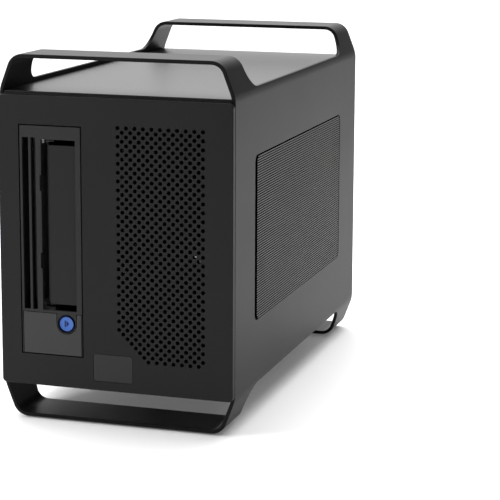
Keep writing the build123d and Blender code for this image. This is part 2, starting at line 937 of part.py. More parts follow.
def make_reel_clutch():
    """The driven hub that grips a cartridge's reel: a disc, a boss and radial teeth."""
    at = (hub_y, hub_z)
    body = rod("x", clutch_radius, at, (reel_low, reel_low + clutch_thickness))
    body += rod("x", hub_radius, at, (reel_low, hub_top()))
    for i in range(clutch_teeth // 2):
        groove = Rot(i * 360 / clutch_teeth, 0, 0) * Box(2 * tooth_depth, 2 * clutch_radius, tooth_gap)
        body -= Pos(hub_top(), *at) * groove
    return body - bore("x", spindle_radius + running_gap, at, (reel_low, hub_top()))


def make_takeup_motor():
    at = (takeup_y, takeup_z)
    plate = motor_plate(at)
    return plate + pin("x", takeup_spindle, at, (plate_top, reel_tape[1] + 2 * reel_flange))


def make_takeup_reel():
    at = (takeup_y, takeup_z)
    low, high = reel_tape
    body = rod("x", reel_hub_radius, at, (low, high))
    body += rod("x", reel_radius, at, (low - reel_flange, low))
    body += rod("x", reel_radius, at, (high, high + reel_flange))
    return body - bore("x", takeup_spindle + running_gap, at, (low - reel_flange, high + reel_flange))


def roller_span():
    return (reel_low, reel_tape[1] + reel_flange)


def make_guide_roller(at):
    body = rod("x", roller_radius, at, roller_span())
    return body - bore("x", roller_pin + running_gap, at, roller_span())


def make_roller_pins():
    span = (plate_top, roller_span()[1] + reel_gap)
    return Compound(children=[pin("x", roller_pin, at, span) for at in roller_places])


def shaft_places():
    z = head_bottom + head_block / 2
    return [(head_middle + side * shaft_spacing / 2, z) for side in (-1, 1)]


def make_head_shafts():
    span = (plate_top, sum(reel_tape) / 2 + head_block / 2 + head_travel + reel_gap)
    return Compound(children=[pin("x", shaft_radius, at, span) for at in shaft_places()])


def make_tape_head():
    """The head block on its two shafts, with the rounded nose that meets the tape."""
    middle = sum(reel_tape) / 2
    x = (middle - head_block / 2, middle + head_block / 2)
    y = (head_middle - head_width / 2, head_middle + head_width / 2)
    top = head_bottom + head_block
    body = block(x, y, (head_bottom, top))
    half = head_width / 4
    nose = make_face(
        Polyline((head_middle + half, top), (head_middle - half, top))
        + ThreePointArc((head_middle - half, top), (head_middle, top + head_nose), (head_middle + half, top))
    )
    body += sideways(nose, x)
    for at in shaft_places():
        body -= bore("x", shaft_radius + running_gap, at, x)
    return body


def arm_level():
    low = sum(reel_tape) / 2 + head_block / 2 + head_travel + 2 * reel_gap
    return (low, low + arm_thickness)


def make_arm_post():
    low, high = arm_level()
    collar = pin("x", arm_post + base_plate / 2, arm_pivot, (plate_top, low - tray_clear))
    return collar + pin("x", arm_post, arm_pivot, (plate_top, high + arm_thickness / 2))


def make_threading_arm():
    turn = math.radians(arm_rest_angle)
    tip = (arm_pivot[0] + arm_length * math.cos(turn), arm_pivot[1] + arm_length * math.sin(turn))
    middle = ((arm_pivot[0] + tip[0]) / 2, (arm_pivot[1] + tip[1]) / 2)
    outline = Pos(*middle) * Rot(0, 0, arm_rest_angle) * SlotCenterToCenter(arm_length, arm_width)
    notch = Pos(arm_width / 4, 0) * Rectangle(arm_width / 2, arm_notch)
    notch = Pos(*tip) * Rot(0, 0, arm_rest_angle) * notch
    body = sideways(outline - notch, arm_level())
    return body - bore("x", arm_post + running_gap, arm_pivot, arm_level())


# Rear panel, fan, inlet, switch and ports
def port_level():
    low = floor_top + controller_height + board_thickness
    return (low, low + port_size[1])


def fan_slots():
    """Vertical slots that fill the fan's circle, with a bridge across the middle."""
    slots = []
    count = int((fan_bore - fan_slot) / fan_slot_pitch)
    for i in range(-count, count + 1):
        half = math.sqrt((fan_bore - fan_slot / 2) ** 2 - (i * fan_slot_pitch) ** 2)
        x = centred(fan_x + i * fan_slot_pitch, fan_slot)
        slots.append((x, (fan_z + fan_slot, fan_z + half)))
        slots.append((x, (fan_z - half, fan_z - fan_slot)))
    return slots


def make_rear_panel():
    y = (rear_inner, rear_face)
    x = (-wall_in + rear_slip, wall_in - rear_slip)
    body = front_plate(x, y, (floor_top + rear_slip, box_top - box_sheet - rear_slip), box_bend - box_sheet)
    holes = fan_slots()
    holes.append((centred(inlet_x, inlet_width + rear_slip), centred(inlet_z, inlet_height + rear_slip)))
    switch_x, switch_z = [size + rear_slip for size in rocker_body]
    holes.append((centred(rocker_x, switch_x), centred(inlet_z, switch_z)))
    low, high = port_level()
    for port_x in port_places:
        holes.append((centred(port_x, port_size[0] + 2 * rear_slip), (low - rear_slip, high + rear_slip)))
    for i in range(rear_vents):
        holes.append((rear_vent_x, centred(rear_vent_z + i * rear_vent_pitch, rear_vent_height)))
    for hole_x, hole_z in holes:
        body -= block(hole_x, y, hole_z)
    for at in rear_screw_places() + fan_screw_places():
        body -= screw_hole("y", at, y)
    return body


def make_rear_panel_screws():
    length = rear_sheet + box_sheet + screw_tip
    return Compound(children=[screw("y", at, rear_face, 1, length) for at in rear_screw_places()])


def fan_screw_places():
    half = fan_hole_spacing / 2
    return [(fan_x + a * half, fan_z + b * half) for a in (-1, 1) for b in (-1, 1)]


def make_fan_screws():
    length = rear_sheet + fan_thickness / 3
    return Compound(children=[screw("y", at, rear_face, 1, length) for at in fan_screw_places()])


def make_fan_frame():
    """A square frame with a round duct, and a motor seat on four struts at its rear."""
    at = (fan_x, fan_z)
    y = (rear_inner - fan_thickness, rear_inner)
    body = front_plate(centred(fan_x, fan_size), y, centred(fan_z, fan_size), fan_strut)
    body -= rod("y", fan_bore, at, y)
    seat = (y[1] - fan_strut, y[1])
    across = 2 * fan_bore + fan_wall / 2
    for cross in ((across, fan_strut), (fan_strut, across)):
        body += block(centred(fan_x, cross[0]), seat, centred(fan_z, cross[1]))
    body += rod("y", fan_hub, at, seat)
    body += pin("y", fan_shaft, at, (y[0] + fan_strut + seam, seat[0]))
    for place in fan_screw_places():
        body -= prism("y", fan_hole, screw_sides, place, y)
    return body


def make_fan_rotor():
    """The hub with its pitched, cambered blades, and the bore that turns on the shaft."""
    y = (rear_inner - fan_thickness + fan_tip_gap, rear_inner - fan_strut - fan_tip_gap / 2)
    hub = Cylinder(fan_hub, y[1] - y[0])
    rise = (y[1] - y[0]) * blade_rise
    run = rise / math.tan(math.radians(blade_pitch))
    lower = ThreePointArc((-run / 2, -rise / 2), (blade_camber, -blade_camber), (run / 2, rise / 2))
    upper = ThreePointArc(
        (-run / 2, -rise / 2 + blade_thickness),
        (blade_camber, -blade_camber + blade_thickness),
        (run / 2, rise / 2 + blade_thickness),
    )
    ends = Line(lower @ 0, upper @ 0) + Line(lower @ 1, upper @ 1)
    profile = make_face(lower + upper + ends)
    reach = fan_bore - fan_tip_gap
    blade = extrude(Plane(origin=(fan_hub / 2, 0, 0), x_dir=(0, 1, 0), z_dir=(1, 0, 0)) * profile, reach)
    blade = blade & Cylinder(reach, 2 * fan_thickness)
    for i in range(fan_blades):
        hub += Rot(0, 0, i * 360 / fan_blades) * blade
    hollow = (y[0] + fan_strut - fan_tip_gap, y[1])
    turned = Pos(fan_x, sum(y) / 2, fan_z) * Rot(90, 0, 0) * hub
    return turned - bore("y", fan_shaft + running_gap, (fan_x, fan_z), hollow)


def make_power_inlet():
    """The mains inlet: a rimmed body with a socket whose upper corners are cut, and three pins."""
    mouth = rear_face + inlet_rim_height
    size = (inlet_width + 2 * inlet_rim, inlet_height + 2 * inlet_rim)
    body = front_plate(centred(inlet_x, size[0]), (rear_face, mouth), centred(inlet_z, size[1]), inlet_rim)
    start = rear_face - inlet_depth
    body += block(centred(inlet_x, inlet_width), (start, mouth), centred(inlet_z, inlet_height))
    cavity = Rectangle(inlet_width - 2 * inlet_wall, inlet_height - 2 * inlet_wall)
    cavity = chamfer([v for v in cavity.vertices() if v.Y > 0], inlet_corner)
    body -= upright(cavity, (mouth - inlet_pin[1] - inlet_rim, mouth), inlet_x, inlet_z)
    floor = mouth - inlet_pin[1] - inlet_rim
    for i in (-1, 0, 1):
        z = inlet_z - inlet_pin[2] / 2 - (inlet_pin[2] if i == 0 else 0)
        x = inlet_x + i * inlet_pin_spacing
        body += block(centred(x, inlet_pin[0]), (floor, floor + inlet_pin[1]), centred(z, inlet_pin[2]))
    return body


def rocker_axis_y():
    return rear_face - rocker_height / 4


def make_switch_body():
    """The rocker's housing: a rim on the panel and a well with a socket for each pin."""
    mouth = rear_face + inlet_rim_height
    size = (rocker_body[0] + inlet_rim, rocker_body[1] + inlet_rim)
    rim_x, rim_z = centred(rocker_x, size[0]), centred(inlet_z, size[1])
    body = front_plate(rim_x, (rear_face, mouth), rim_z, inlet_rim / 2)
    body_x, body_z = centred(rocker_x, rocker_body[0]), centred(inlet_z, rocker_body[1])
    body += block(body_x, (rear_face - rocker_depth, mouth), body_z)
    well = (rocker_width + 2 * rocker_gap, rocker_body[1] - 2 * rocker_end)
    floor = rear_face - rocker_depth + inlet_wall
    body -= block(centred(rocker_x, well[0]), (floor, mouth), centred(inlet_z, well[1]))
    socket = centred(rocker_x, rocker_width + 2 * rocker_pin + 2 * rocker_gap)
    return body - bore("x", rocker_pin + running_gap, (rocker_axis_y(), inlet_z), socket)


def make_power_rocker():
    """The two-faced rocker, resting tipped towards its lower end, with its two pins."""
    half = rocker_height / 2
    rise = half * math.tan(math.radians(rocker_tilt))
    axis_y = rocker_axis_y()
    crown = rear_face + inlet_rim_height - rocker_crown - axis_y
    outline = Polyline(
        (crown, 0),
        (crown + rise, half),
        (crown - rocker_side, half),
        (-rocker_side, half / 2),
        (-rocker_side, -half / 2),
        (crown - rocker_side, -half),
        (crown + rise, -half),
        close=True,
    )
    profile = Rot(0, 0, rocker_tilt) * make_face(outline)
    body = sideways(profile, centred(rocker_x, rocker_width), axis_y, inlet_z)
    pins = centred(rocker_x, rocker_width + 2 * rocker_pin)
    return body + pin("x", rocker_pin, (axis_y, inlet_z), pins)


def make_data_ports():
    """Two open metal shells on the controller board, each with one contact tongue."""
    low, high = port_level()
    y = (rear_face + port_proud - port_depth, rear_face + port_proud)
    ports = []
    for x in port_places:
        shell = front_plate(centred(x, port_size[0]), y, (low, high), port_wall)
        inner_x, inner_z = centred(x, port_size[0] - 2 * port_wall), (low + port_wall, high - port_wall)
        shell -= block(inner_x, (y[0] + 2 * port_wall, y[1]), inner_z)
        tongue = (low + 2 * port_wall, low + 3 * port_wall)
        shell += block(centred(x, port_size[0] / 2), (y[0] + port_wall, y[1] - 2 * port_wall), tongue)
        ports.append(shell)
    return Compound(children=ports)


def make_controller_board():
    """The bridge board on its posts, with a finned heat sink."""
    x = (controller_left, controller_left + controller_size[0])
    y = (rear_inner - box_sheet - rear_slip - controller_size[1], rear_inner - box_sheet - rear_slip)
    low = floor_top + controller_height
    body = block(x, y, (low, low + board_thickness))
    base = low + board_thickness
    sink = centred(sum(y) / 2 - sink_size / 2, sink_size)
    body += block(centred(sum(x) / 2, sink_size), sink, (base, base + sink_base))
    for i in range(sink_fins):
        fin = sum(x) / 2 + (i - (sink_fins - 1) / 2) * sink_size / sink_fins
        body += block(centred(fin, sink_fin), sink, (base + sink_base / 2, base + sink_height))
    return body


def make_board_posts():
    x = (controller_left + post_inset, controller_left + controller_size[0] - post_inset)
    y_back = rear_inner - box_sheet - rear_slip
    y = (y_back - controller_size[1] + post_inset, y_back - post_inset)
    span = (floor_top, floor_top + controller_height)
    return Compound(children=[prism("z", post_radius, screw_sides, (a, b), span) for a in x for b in y])


def supply_spans(inset):
    x = (supply_left + inset, supply_left + supply_size[0] - inset)
    y = (supply_front + inset, supply_front + supply_size[1] - inset)
    return x, y, (floor_top + inset, floor_top + supply_size[2] - inset)


def make_supply_board():
    """The supply's board on its feet, with a transformer, a heat sink and two capacitors."""
    x, y, z = supply_spans(box_sheet)
    level = (z[0] + supply_board_height, z[0] + supply_board_height + board_thickness)
    edge = supply_board_edge
    board = block((x[0] + edge, x[1] - edge), (y[0] + edge, y[1] - edge), level)
    for a in (x[0] + 2 * edge, x[1] - 2 * edge):
        for b in (y[0] + 2 * edge, y[1] - 2 * edge):
            board += prism("z", board_post, 4, (a, b), (z[0], level[0]))
    core = transformer_size
    middle = sum(x) / 2, sum(y) / 2
    board += block(centred(middle[0], core[0]), centred(middle[1], core[1]), (level[0], level[1] + core[2]))
    radius, height = capacitor_size
    for side in (-1, 1):
        at = (middle[0] + side * (radius + capacitor_gap), middle[1] + core[1])
        board += pin("z", radius, at, (level[0], level[1] + height))
    sink = (y[0] + 3 * edge, y[0] + 3 * edge + sink_base)
    return board + block(centred(middle[0], core[0]), sink, (level[0], level[1] + core[2]))


def make_power_supply():
    """The supply's vented steel case with a mounting ear at each end."""
    x, y, z = supply_spans(0)
    body = block(x, y, z)
    body = fillet(body.edges().filter_by(Axis.Y).group_by(Axis.Z)[-1], box_bend)
    body -= block(*supply_spans(box_sheet))
    for i in range(supply_slots):
        at = y[0] + (i + 1) * supply_size[1] / (supply_slots + 1)
        slot_x = (x[0] + supply_slot_inset, x[1] - supply_slot_inset)
        body -= block(slot_x, centred(at, supply_slot), (z[1] - supply_slot, z[1]))
    for ear in ((y[0] - supply_ear, y[0]), (y[1], y[1] + supply_ear)):
        ear_x = (x[0] + supply_slot_inset / 2, x[1] - supply_slot_inset / 2)
        body += block(ear_x, ear, (z[0], z[0] + box_sheet))
    return body


parts = {
    "outer_sleeve": make_outer_sleeve(),
    "side_grille_left": make_side_grille(-1),
    "side_grille_right": make_side_grille(1),
    "foot_pads": make_foot_pads(),
    "chassis_tray": make_chassis_tray(),
    "chassis_cover": make_chassis_cover(),
    "front_panel": make_front_panel(),
    "front_panel_screws": make_front_panel_screws(),
    "drive_bezel": make_drive_bezel(),
    "control_panel": make_control_panel(),
    "front_board": make_front_board(),
    "cartridge_door": make_cartridge_door(),
    "door_pin": make_door_pin(),
    "door_spring": make_door_spring(),
    "eject_button": make_eject_button(),
    "switch_plunger": make_switch_plunger(),
    "loader_tray": make_loader_tray(),
    "drive_base": make_drive_base(),
    "drive_cover": make_drive_cover(),
    "drive_board": make_drive_board(),
    "drive_cage": make_drive_cage(),
    "cage_screws": make_cage_screws(),
    "reel_motor": make_reel_motor(),
    "reel_clutch": make_reel_clutch(),
    "takeup_motor": make_takeup_motor(),
    "takeup_reel": make_takeup_reel(),
    "roller_pins": make_roller_pins(),
    "head_shafts": make_head_shafts(),
    "tape_head": make_tape_head(),
    "arm_post": make_arm_post(),
    "threading_arm": make_threading_arm(),
    "rear_panel": make_rear_panel(),
    "rear_panel_screws": make_rear_panel_screws(),
    "fan_frame": make_fan_frame(),
    "fan_rotor": make_fan_rotor(),
    "fan_screws": make_fan_screws(),
    "power_inlet": make_power_inlet(),
    "switch_body": make_switch_body(),
    "power_rocker": make_power_rocker(),
    "data_ports": make_data_ports(),
    "controller_board": make_controller_board(),
    "board_posts": make_board_posts(),
    "power_supply": make_power_supply(),
    "supply_board": make_supply_board(),
}
for number, place in enumerate(roller_places, start=1):
    parts[f"guide_roller_{number}"] = make_guide_roller(place)

for name, shape in parts.items():
    shape.label = name
    export_step(shape, f"parts/{name}.step")
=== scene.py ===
# %% [markdown]
# # Upright data tape drive
# The object is a free-standing tape drive: a black aluminium sleeve with a
# carrying bar at each end, a box that hangs inside it, and a half-height
# drive behind a perforated front panel.
# The construction model supplies every moving part and every fit. The lesson
# adds what a camera sees on top of it: rounded edges, the fine round vents,
# the ribbed side grilles, a blank inlay, the button's mark, cross-recess
# screws, the spring's wire, two dark filters that keep the inside in shade,
# and the surface finishes, a few of them painted shade and one a painted glint.

# %% Load the construction model
import json
import math
import bpy
import bmesh
from mathutils import Matrix, Vector

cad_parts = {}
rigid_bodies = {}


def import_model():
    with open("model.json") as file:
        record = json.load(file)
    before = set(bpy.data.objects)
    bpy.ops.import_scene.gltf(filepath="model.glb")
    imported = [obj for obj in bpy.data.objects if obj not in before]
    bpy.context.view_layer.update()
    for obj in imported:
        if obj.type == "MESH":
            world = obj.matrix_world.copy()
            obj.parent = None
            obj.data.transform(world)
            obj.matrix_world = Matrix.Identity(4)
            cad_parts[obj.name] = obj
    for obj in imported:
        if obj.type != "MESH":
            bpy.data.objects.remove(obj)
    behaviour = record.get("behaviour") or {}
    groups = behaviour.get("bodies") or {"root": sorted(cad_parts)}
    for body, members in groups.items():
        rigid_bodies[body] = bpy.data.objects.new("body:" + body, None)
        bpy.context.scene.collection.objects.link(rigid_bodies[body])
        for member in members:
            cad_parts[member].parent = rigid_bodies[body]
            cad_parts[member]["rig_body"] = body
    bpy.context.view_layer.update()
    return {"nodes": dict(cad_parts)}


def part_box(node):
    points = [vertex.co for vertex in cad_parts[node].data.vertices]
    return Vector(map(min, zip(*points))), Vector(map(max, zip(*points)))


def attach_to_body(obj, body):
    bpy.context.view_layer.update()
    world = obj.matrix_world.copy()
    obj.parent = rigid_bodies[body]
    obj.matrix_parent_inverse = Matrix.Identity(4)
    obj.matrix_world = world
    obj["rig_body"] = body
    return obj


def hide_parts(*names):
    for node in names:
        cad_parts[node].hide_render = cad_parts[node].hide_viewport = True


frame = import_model()
mm = 0.001

# %% [markdown]
# A shader is written here as a plain sum. `Link` stands for one value in the
# node tree, and its operators add Math nodes, so a pattern reads like a
# formula. `Finish` is one material: its `node` method adds any other node.
# Writing patterns as sums keeps them editable, since every scale is a number
# in millimetres that stands beside the thing it shapes.

# %% Shader helpers


class Link:
    """One value of a node tree, with operators that add Math nodes."""

    def __init__(self, graph, socket):
        self.graph, self.socket = graph, socket

    def math(self, operation, *others):
        return self.graph.node("Math", {"operation": operation}, [self, *others])

    def __add__(self, other):
        return self.math("ADD", other)

    __radd__ = __add__

    def __mul__(self, other):
        return self.math("MULTIPLY", other)

    def __lt__(self, other):
        return self.math("LESS_THAN", other)

    def __gt__(self, other):
        return self.math("GREATER_THAN", other)


class Graph:
    """A node tree whose nodes are added one by one."""

    def __init__(self, tree):
        self.tree = tree

    def node(self, kind, settings=None, inputs=None, output=0):
        """Add a node with its settings and inputs, and return one of its outputs."""
        node = self.tree.nodes.new("ShaderNode" + kind)
        for key, value in (settings or {}).items():
            setattr(node, key, value)
        pairs = inputs.items() if isinstance(inputs, dict) else enumerate(inputs or [])
        for key, value in pairs:
            if isinstance(value, Link):
                self.tree.links.new(value.socket, node.inputs[key])
            else:
                node.inputs[key].default_value = value
        return Link(self, node.outputs[output])

    def split(self, vector):
        """The three parts of a vector, each as a value."""
        node = self.node("SeparateXYZ", None, [vector]).socket.node
        return [Link(self, node.outputs[axis]) for axis in "XYZ"]

    def ramp(self, value, start, end, low=0.0, high=1.0):
        """A smooth step from one value to another between two places."""
        settings = {"interpolation_type": "SMOOTHSTEP"}
        return self.node("MapRange", settings, [value, start, end, low, high])


class Finish(Graph):
    """A material: its shader is ready made, and patterns are linked to it."""

    def __init__(self, name, roughness, metallic=0.0, coat=0.0, specular=0.5):
        self.material = bpy.data.materials.new(name)
        self.material.use_nodes = True
        super().__init__(self.material.node_tree)
        self.shader = self.tree.nodes["Principled BSDF"]
        self.set("Roughness", roughness)
        self.set("Metallic", metallic)
        self.set("Coat Weight", coat)
        self.set("Specular IOR Level", specular)

    def set(self, name, value):
        """Link a pattern to an input of the shader, or give it a constant."""
        if isinstance(value, Link):
            self.tree.links.new(value.socket, self.shader.inputs[name])
        else:
            self.shader.inputs[name].default_value = value

    def place(self):
        """The place on the object, in metres."""
        return self.node("TexCoord", output="Object")

    def noise(self, grain, detail=2.0, stretch=(1.0, 1.0, 1.0)):
        """Noise whose grains are about this many millimetres across."""
        at = self.node("Mapping", None, {"Vector": self.place(), "Scale": stretch})
        sizes = {"Vector": at, "Scale": 1.0 / (grain * mm), "Detail": detail}
        return self.node("TexNoise", None, sizes)

    def blend(self, amount, low, high):
        """A colour between two colours."""
        low, high = [c if isinstance(c, Link) else (*c, 1.0) for c in (low, high)]
        return self.node("Mix", {"data_type": "RGBA"}, {0: amount, 6: low, 7: high}, output=2)

    def bump(self, height, depth):
        """Push the surface in and out by a height, with its depth in millimetres."""
        sizes = {"Height": height, "Distance": depth * mm, "Strength": 1.0}
        self.set("Normal", self.node("Bump", None, sizes))


def grey(level, warm=0.0):
    """A grey, which `warm` shifts from blue to red."""
    return (level * (1 + warm), level, level * (1 - warm))


print("helpers ready")

# %% [markdown]
# The finishes are the few that such a drive really has. Anodised aluminium is
# dark and satin with a very fine grain; powder coat has a coarser orange
# peel; moulded plastic has a spark-eroded grain; plated steel and castings
# are the bright parts inside. Each is made once as a function of its colour,
# so that two parts with the same treatment stay related. A few colours below
# are painted light instead: the grille's grooves, the button's wall and the
# filter foam are painted shade, and the cage's folded edge is a painted glint.

# %% Finishes of metal and plastic


def anodised(name, level, roughness, specular):
    """Bead-blasted and anodised aluminium: fine grain, and a slow cloud of tone."""
    finish = Finish(name, roughness, specular=specular)
    fine, cloud = finish.noise(0.35, 3.0), finish.noise(55.0)
    tone = fine * 0.5 + cloud * 0.5
    finish.set("Base Color", finish.blend(tone, grey(level * 0.7), grey(level * 1.3)))
    finish.set("Roughness", roughness - 0.08 + fine * 0.1 + cloud * 0.06)
    finish.bump(fine, 0.012)
    return finish


def powder_coated(name, level, roughness):
    """Powder coat on sheet steel, with its orange peel."""
    finish = Finish(name, roughness, specular=0.25)
    peel, fine = finish.noise(1.6, 1.0), finish.noise(0.5)
    finish.set("Base Color", finish.blend(peel, grey(level * 0.85), grey(level * 1.15)))
    finish.set("Roughness", roughness - 0.05 + fine * 0.1)
    finish.bump(peel * 0.7 + fine * 0.3, 0.03)
    return finish


def moulded(name, colour, roughness, coat=0.0, specular=0.35):
    """Injection-moulded plastic from a spark-eroded tool."""
    finish = Finish(name, roughness, coat=coat, specular=specular)
    sparks, cloud = finish.noise(0.28, 3.0), finish.noise(30.0)
    low, high = [tuple(part * share for part in colour) for share in (0.85, 1.15)]
    finish.set("Base Color", finish.blend(sparks * 0.6 + cloud * 0.4, low, high))
    finish.set("Roughness", roughness - 0.06 + sparks * 0.12)
    finish.bump(sparks, 0.015)
    return finish


def rolled(name, level, roughness=0.3, along=(0.04, 1.0, 1.0), warm=0.0):
    """Bare or plated sheet metal, with the streaks of the rolling mill."""
    finish = Finish(name, roughness, metallic=1.0)
    streaks, cloud = finish.noise(0.5, 3.0, along), finish.noise(25.0)
    tone = streaks * 0.5 + cloud * 0.5
    finish.set("Base Color", finish.blend(tone, grey(level * 0.8, warm), grey(level * 1.1, warm)))
    finish.set("Roughness", roughness - 0.08 + streaks * 0.14 + cloud * 0.05)
    finish.bump(streaks, 0.008)
    return finish


def cast_metal(name, level, roughness):
    """A die casting: a dull, slightly pitted skin."""
    finish = Finish(name, roughness, metallic=0.9)
    skin, flow = finish.noise(0.8, 4.0), finish.noise(12.0)
    tone = skin * 0.4 + flow * 0.6
    finish.set("Base Color", finish.blend(tone, grey(level * 0.8), grey(level * 1.1)))
    finish.set("Roughness", roughness - 0.05 + skin * 0.15)
    finish.bump(skin, 0.04)
    return finish


upright_streaks = (1.0, 1.0, 0.04)
sleeve_finish = anodised("sleeve_anodised", 0.008, 0.38, 0.06)
panel_finish = anodised("panel_anodised", 0.007, 0.46, 0.16)
grille_finish = anodised("grille_anodised", 0.018, 0.36, 0.16)
# Near black and without sheen: painted shade for the slots of the grilles.
groove_painted_shade = anodised("grille_grooves_painted_shade", 0.0015, 0.80, 0.0)
badge_finish = anodised("badge_anodised", 0.012, 0.40, 0.25)
box_finish = powder_coated("box_powder_coat", 0.012, 0.38)
bezel_finish = moulded("bezel_moulding", grey(0.009), 0.50, specular=0.25)
dish_finish = moulded("button_dish", (0.003, 0.008, 0.030), 0.50, specular=0.15)
control_finish = moulded("control_moulding", grey(0.028), 0.50, specular=0.25)
door_finish = moulded("door_moulding", grey(0.009), 0.42, specular=0.16)
button_finish = moulded("blue_button", (0.019, 0.092, 0.36), 0.30, coat=0.2)
# A darker copy of the button's blue: painted shade for its wall.
button_wall_painted_shade = moulded("blue_button_wall_painted_shade", (0.003, 0.007, 0.026), 0.45, specular=0.15)
symbol_finish = moulded("button_symbol_ink", (0.003, 0.014, 0.09), 0.45, specular=0.2)
plastic_finish = moulded("black_plastic", grey(0.012), 0.45)
component_finish = moulded("component_black", grey(0.018), 0.35)
pale_finish = moulded("pale_plastic", grey(0.55, 0.04), 0.40)
pad_finish = moulded("pad_rubber", grey(0.016), 0.75, specular=0.2)
winding_finish = moulded("varnished_winding", (0.30, 0.12, 0.02), 0.30, coat=0.5)
steel_finish = rolled("plated_steel", 0.42)
cage_finish = rolled("bright_zinc", 0.62, 0.45)
# Near black foam: painted shade inside the box.
foam_painted_shade = moulded("filter_foam_painted_shade", grey(0.006), 0.90, specular=0.05)
# Brighter than the cage's zinc: a painted glint for the cage's front lip.
lip_painted_glint = rolled("folded_edge_painted_glint", 0.95, 0.50)
tray_finish = rolled("blackened_steel", 0.035, 0.40)
runner_finish = rolled("tray_runner_steel", 0.30, 0.42, upright_streaks)
pin_finish = rolled("ground_steel", 0.60, 0.22, upright_streaks)
screw_finish = rolled("black_screws", 0.05, 0.35)
brass_finish = rolled("brass_posts", 0.42, 0.30, upright_streaks, warm=0.35)
port_finish = rolled("nickel_shells", 0.50, 0.28, (1.0, 0.04, 1.0), warm=0.04)
cast_finish = cast_metal("die_cast", 0.40, 0.45)
head_finish = rolled("lapped_head", 0.42, 0.18)
roller_finish = rolled("turned_rollers", 0.62, 0.16)
print("made", len(bpy.data.materials), "materials")

# %% [markdown]
# A circuit board is a solder mask over fine copper tracks. The tracks follow
# the board's plane, so the finish is given the two axes that it lies in, and
# draws thin lines along each of them with gaps where noise is high. The
# boards of the drive have a black mask and those of the box a green one.

# %% Finish of the circuit boards


def solder_mask(name, across, along, low, high):
    """A board's finish: tracks along two axes, and plated holes at random places."""
    finish = Finish(name, 0.32, coat=0.3)
    axes = dict(zip("XYZ", finish.split(finish.place())))
    u, v = axes[across] * (1 / mm), axes[along] * (1 / mm)
    patches = finish.noise(7.0, 0.0)
    tracks_per_mm, track_share = 0.9, 0.3
    rows = (u * tracks_per_mm).math("FRACT") < track_share
    columns = (v * tracks_per_mm).math("FRACT") < track_share
    tracks = rows * (patches > 0.5) + columns * (patches < 0.44)
    cells = {"Vector": finish.place(), "Scale": 1 / (4.5 * mm)}
    vias = finish.node("TexVoronoi", None, cells) < 0.12
    mask = finish.blend(tracks * 0.7, low, high)
    finish.set("Base Color", finish.blend(vias, mask, (0.45, 0.42, 0.3)))
    finish.set("Metallic", vias * 0.8)
    finish.bump(tracks, 0.03)
    return finish


black_mask, black_tracks = (0.003, 0.004, 0.004), (0.008, 0.010, 0.009)
green_mask, green_tracks = (0.004, 0.050, 0.018), (0.012, 0.120, 0.040)
front_board_finish = solder_mask("board_across", "X", "Z", black_mask, black_tracks)
drive_board_finish = solder_mask("board_upright", "Y", "Z", black_mask, black_tracks)
flat_board_finish = solder_mask("board_flat", "X", "Y", green_mask, green_tracks)
print("made the board finishes")

# %% [markdown]
# Two ways of making a piece are used below. Where the construction model
# already has the right form, its mesh is copied, its loose triangles are
# merged back into whole faces, and a Bevel modifier rounds the edges, because
# no real edge is perfectly sharp. Where the real part has finer detail, a
# new piece starts from a primitive and is shaped in edit mode.

# %% Selecting, modifiers and edges


def only(*pieces):
    """Select these pieces alone, with the first one active."""
    bpy.ops.object.select_all(action="DESELECT")
    for piece in pieces:
        piece.select_set(True)
    bpy.context.view_layer.objects.active = pieces[0]


def add_modifier(piece, kind, **settings):
    """Add a modifier to a piece and apply it at once."""
    only(piece)
    modifier = piece.modifiers.new(kind.title(), kind)
    for key, value in settings.items():
        setattr(modifier, key, value)
    bpy.ops.object.modifier_apply(modifier=modifier.name)


def soften(piece, edge, angle=35):
    """Round the sharp edges by this many millimetres and shade the piece smooth."""
    if edge:
        settings = {"width": edge * mm, "segments": 2, "limit_method": "ANGLE"}
        limit = math.radians(angle)
        add_modifier(piece, "BEVEL", angle_limit=limit, use_clamp_overlap=False, **settings)
    only(piece)
    bpy.ops.object.shade_smooth_by_angle(angle=math.radians(angle))
    add_modifier(piece, "WEIGHTED_NORMAL", keep_sharp=True)


def pick(piece, kind, test):
    """In edit mode, select only the faces, edges or vertices whose middle passes a test."""
    only(piece)
    bpy.ops.object.mode_set(mode="EDIT")
    bpy.ops.mesh.select_mode(type=kind)
    bpy.ops.mesh.select_all(action="DESELECT")
    form = bmesh.from_edit_mesh(piece.data)
    items = {"VERT": form.verts, "EDGE": form.edges, "FACE": form.faces}[kind]
    for item in items:
        corners = [item.co] if kind == "VERT" else [v.co for v in item.verts]
        if test(sum(corners, Vector()) / len(corners) / mm, item):
            item.select_set(True)
    bpy.ops.mesh.select_mode(type=kind)
    bmesh.update_edit_mesh(piece.data)


def leave_edit_mode():
    bpy.ops.object.mode_set(mode="OBJECT")


def settle(piece):
    """Put a piece's place and turn into its mesh, so that its object sits at the origin."""
    only(piece)
    bpy.ops.object.transform_apply(location=True, rotation=True, scale=True)
    return piece


print("selection helpers ready")

# %% Finishing and seating


def coat(piece, finish):
    """Give the whole piece one finish."""
    piece.data.materials.clear()
    piece.data.materials.append(finish.material)


def paint(piece, finish, test):
    """Give a further finish to the faces whose middle passes a test."""
    piece.data.materials.append(finish.material)
    pick(piece, "FACE", test)
    piece.active_material_index = len(piece.data.materials) - 1
    bpy.ops.object.material_slot_assign()
    leave_edit_mode()


def attach(piece, node):
    """The piece rides where this node rides."""
    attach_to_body(piece, frame["nodes"][node]["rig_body"])


def seat(piece, node, finish=None):
    """The piece stands for this node, with a finish of its own."""
    if finish:
        coat(piece, finish)
    attach(piece, node)
    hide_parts(node)


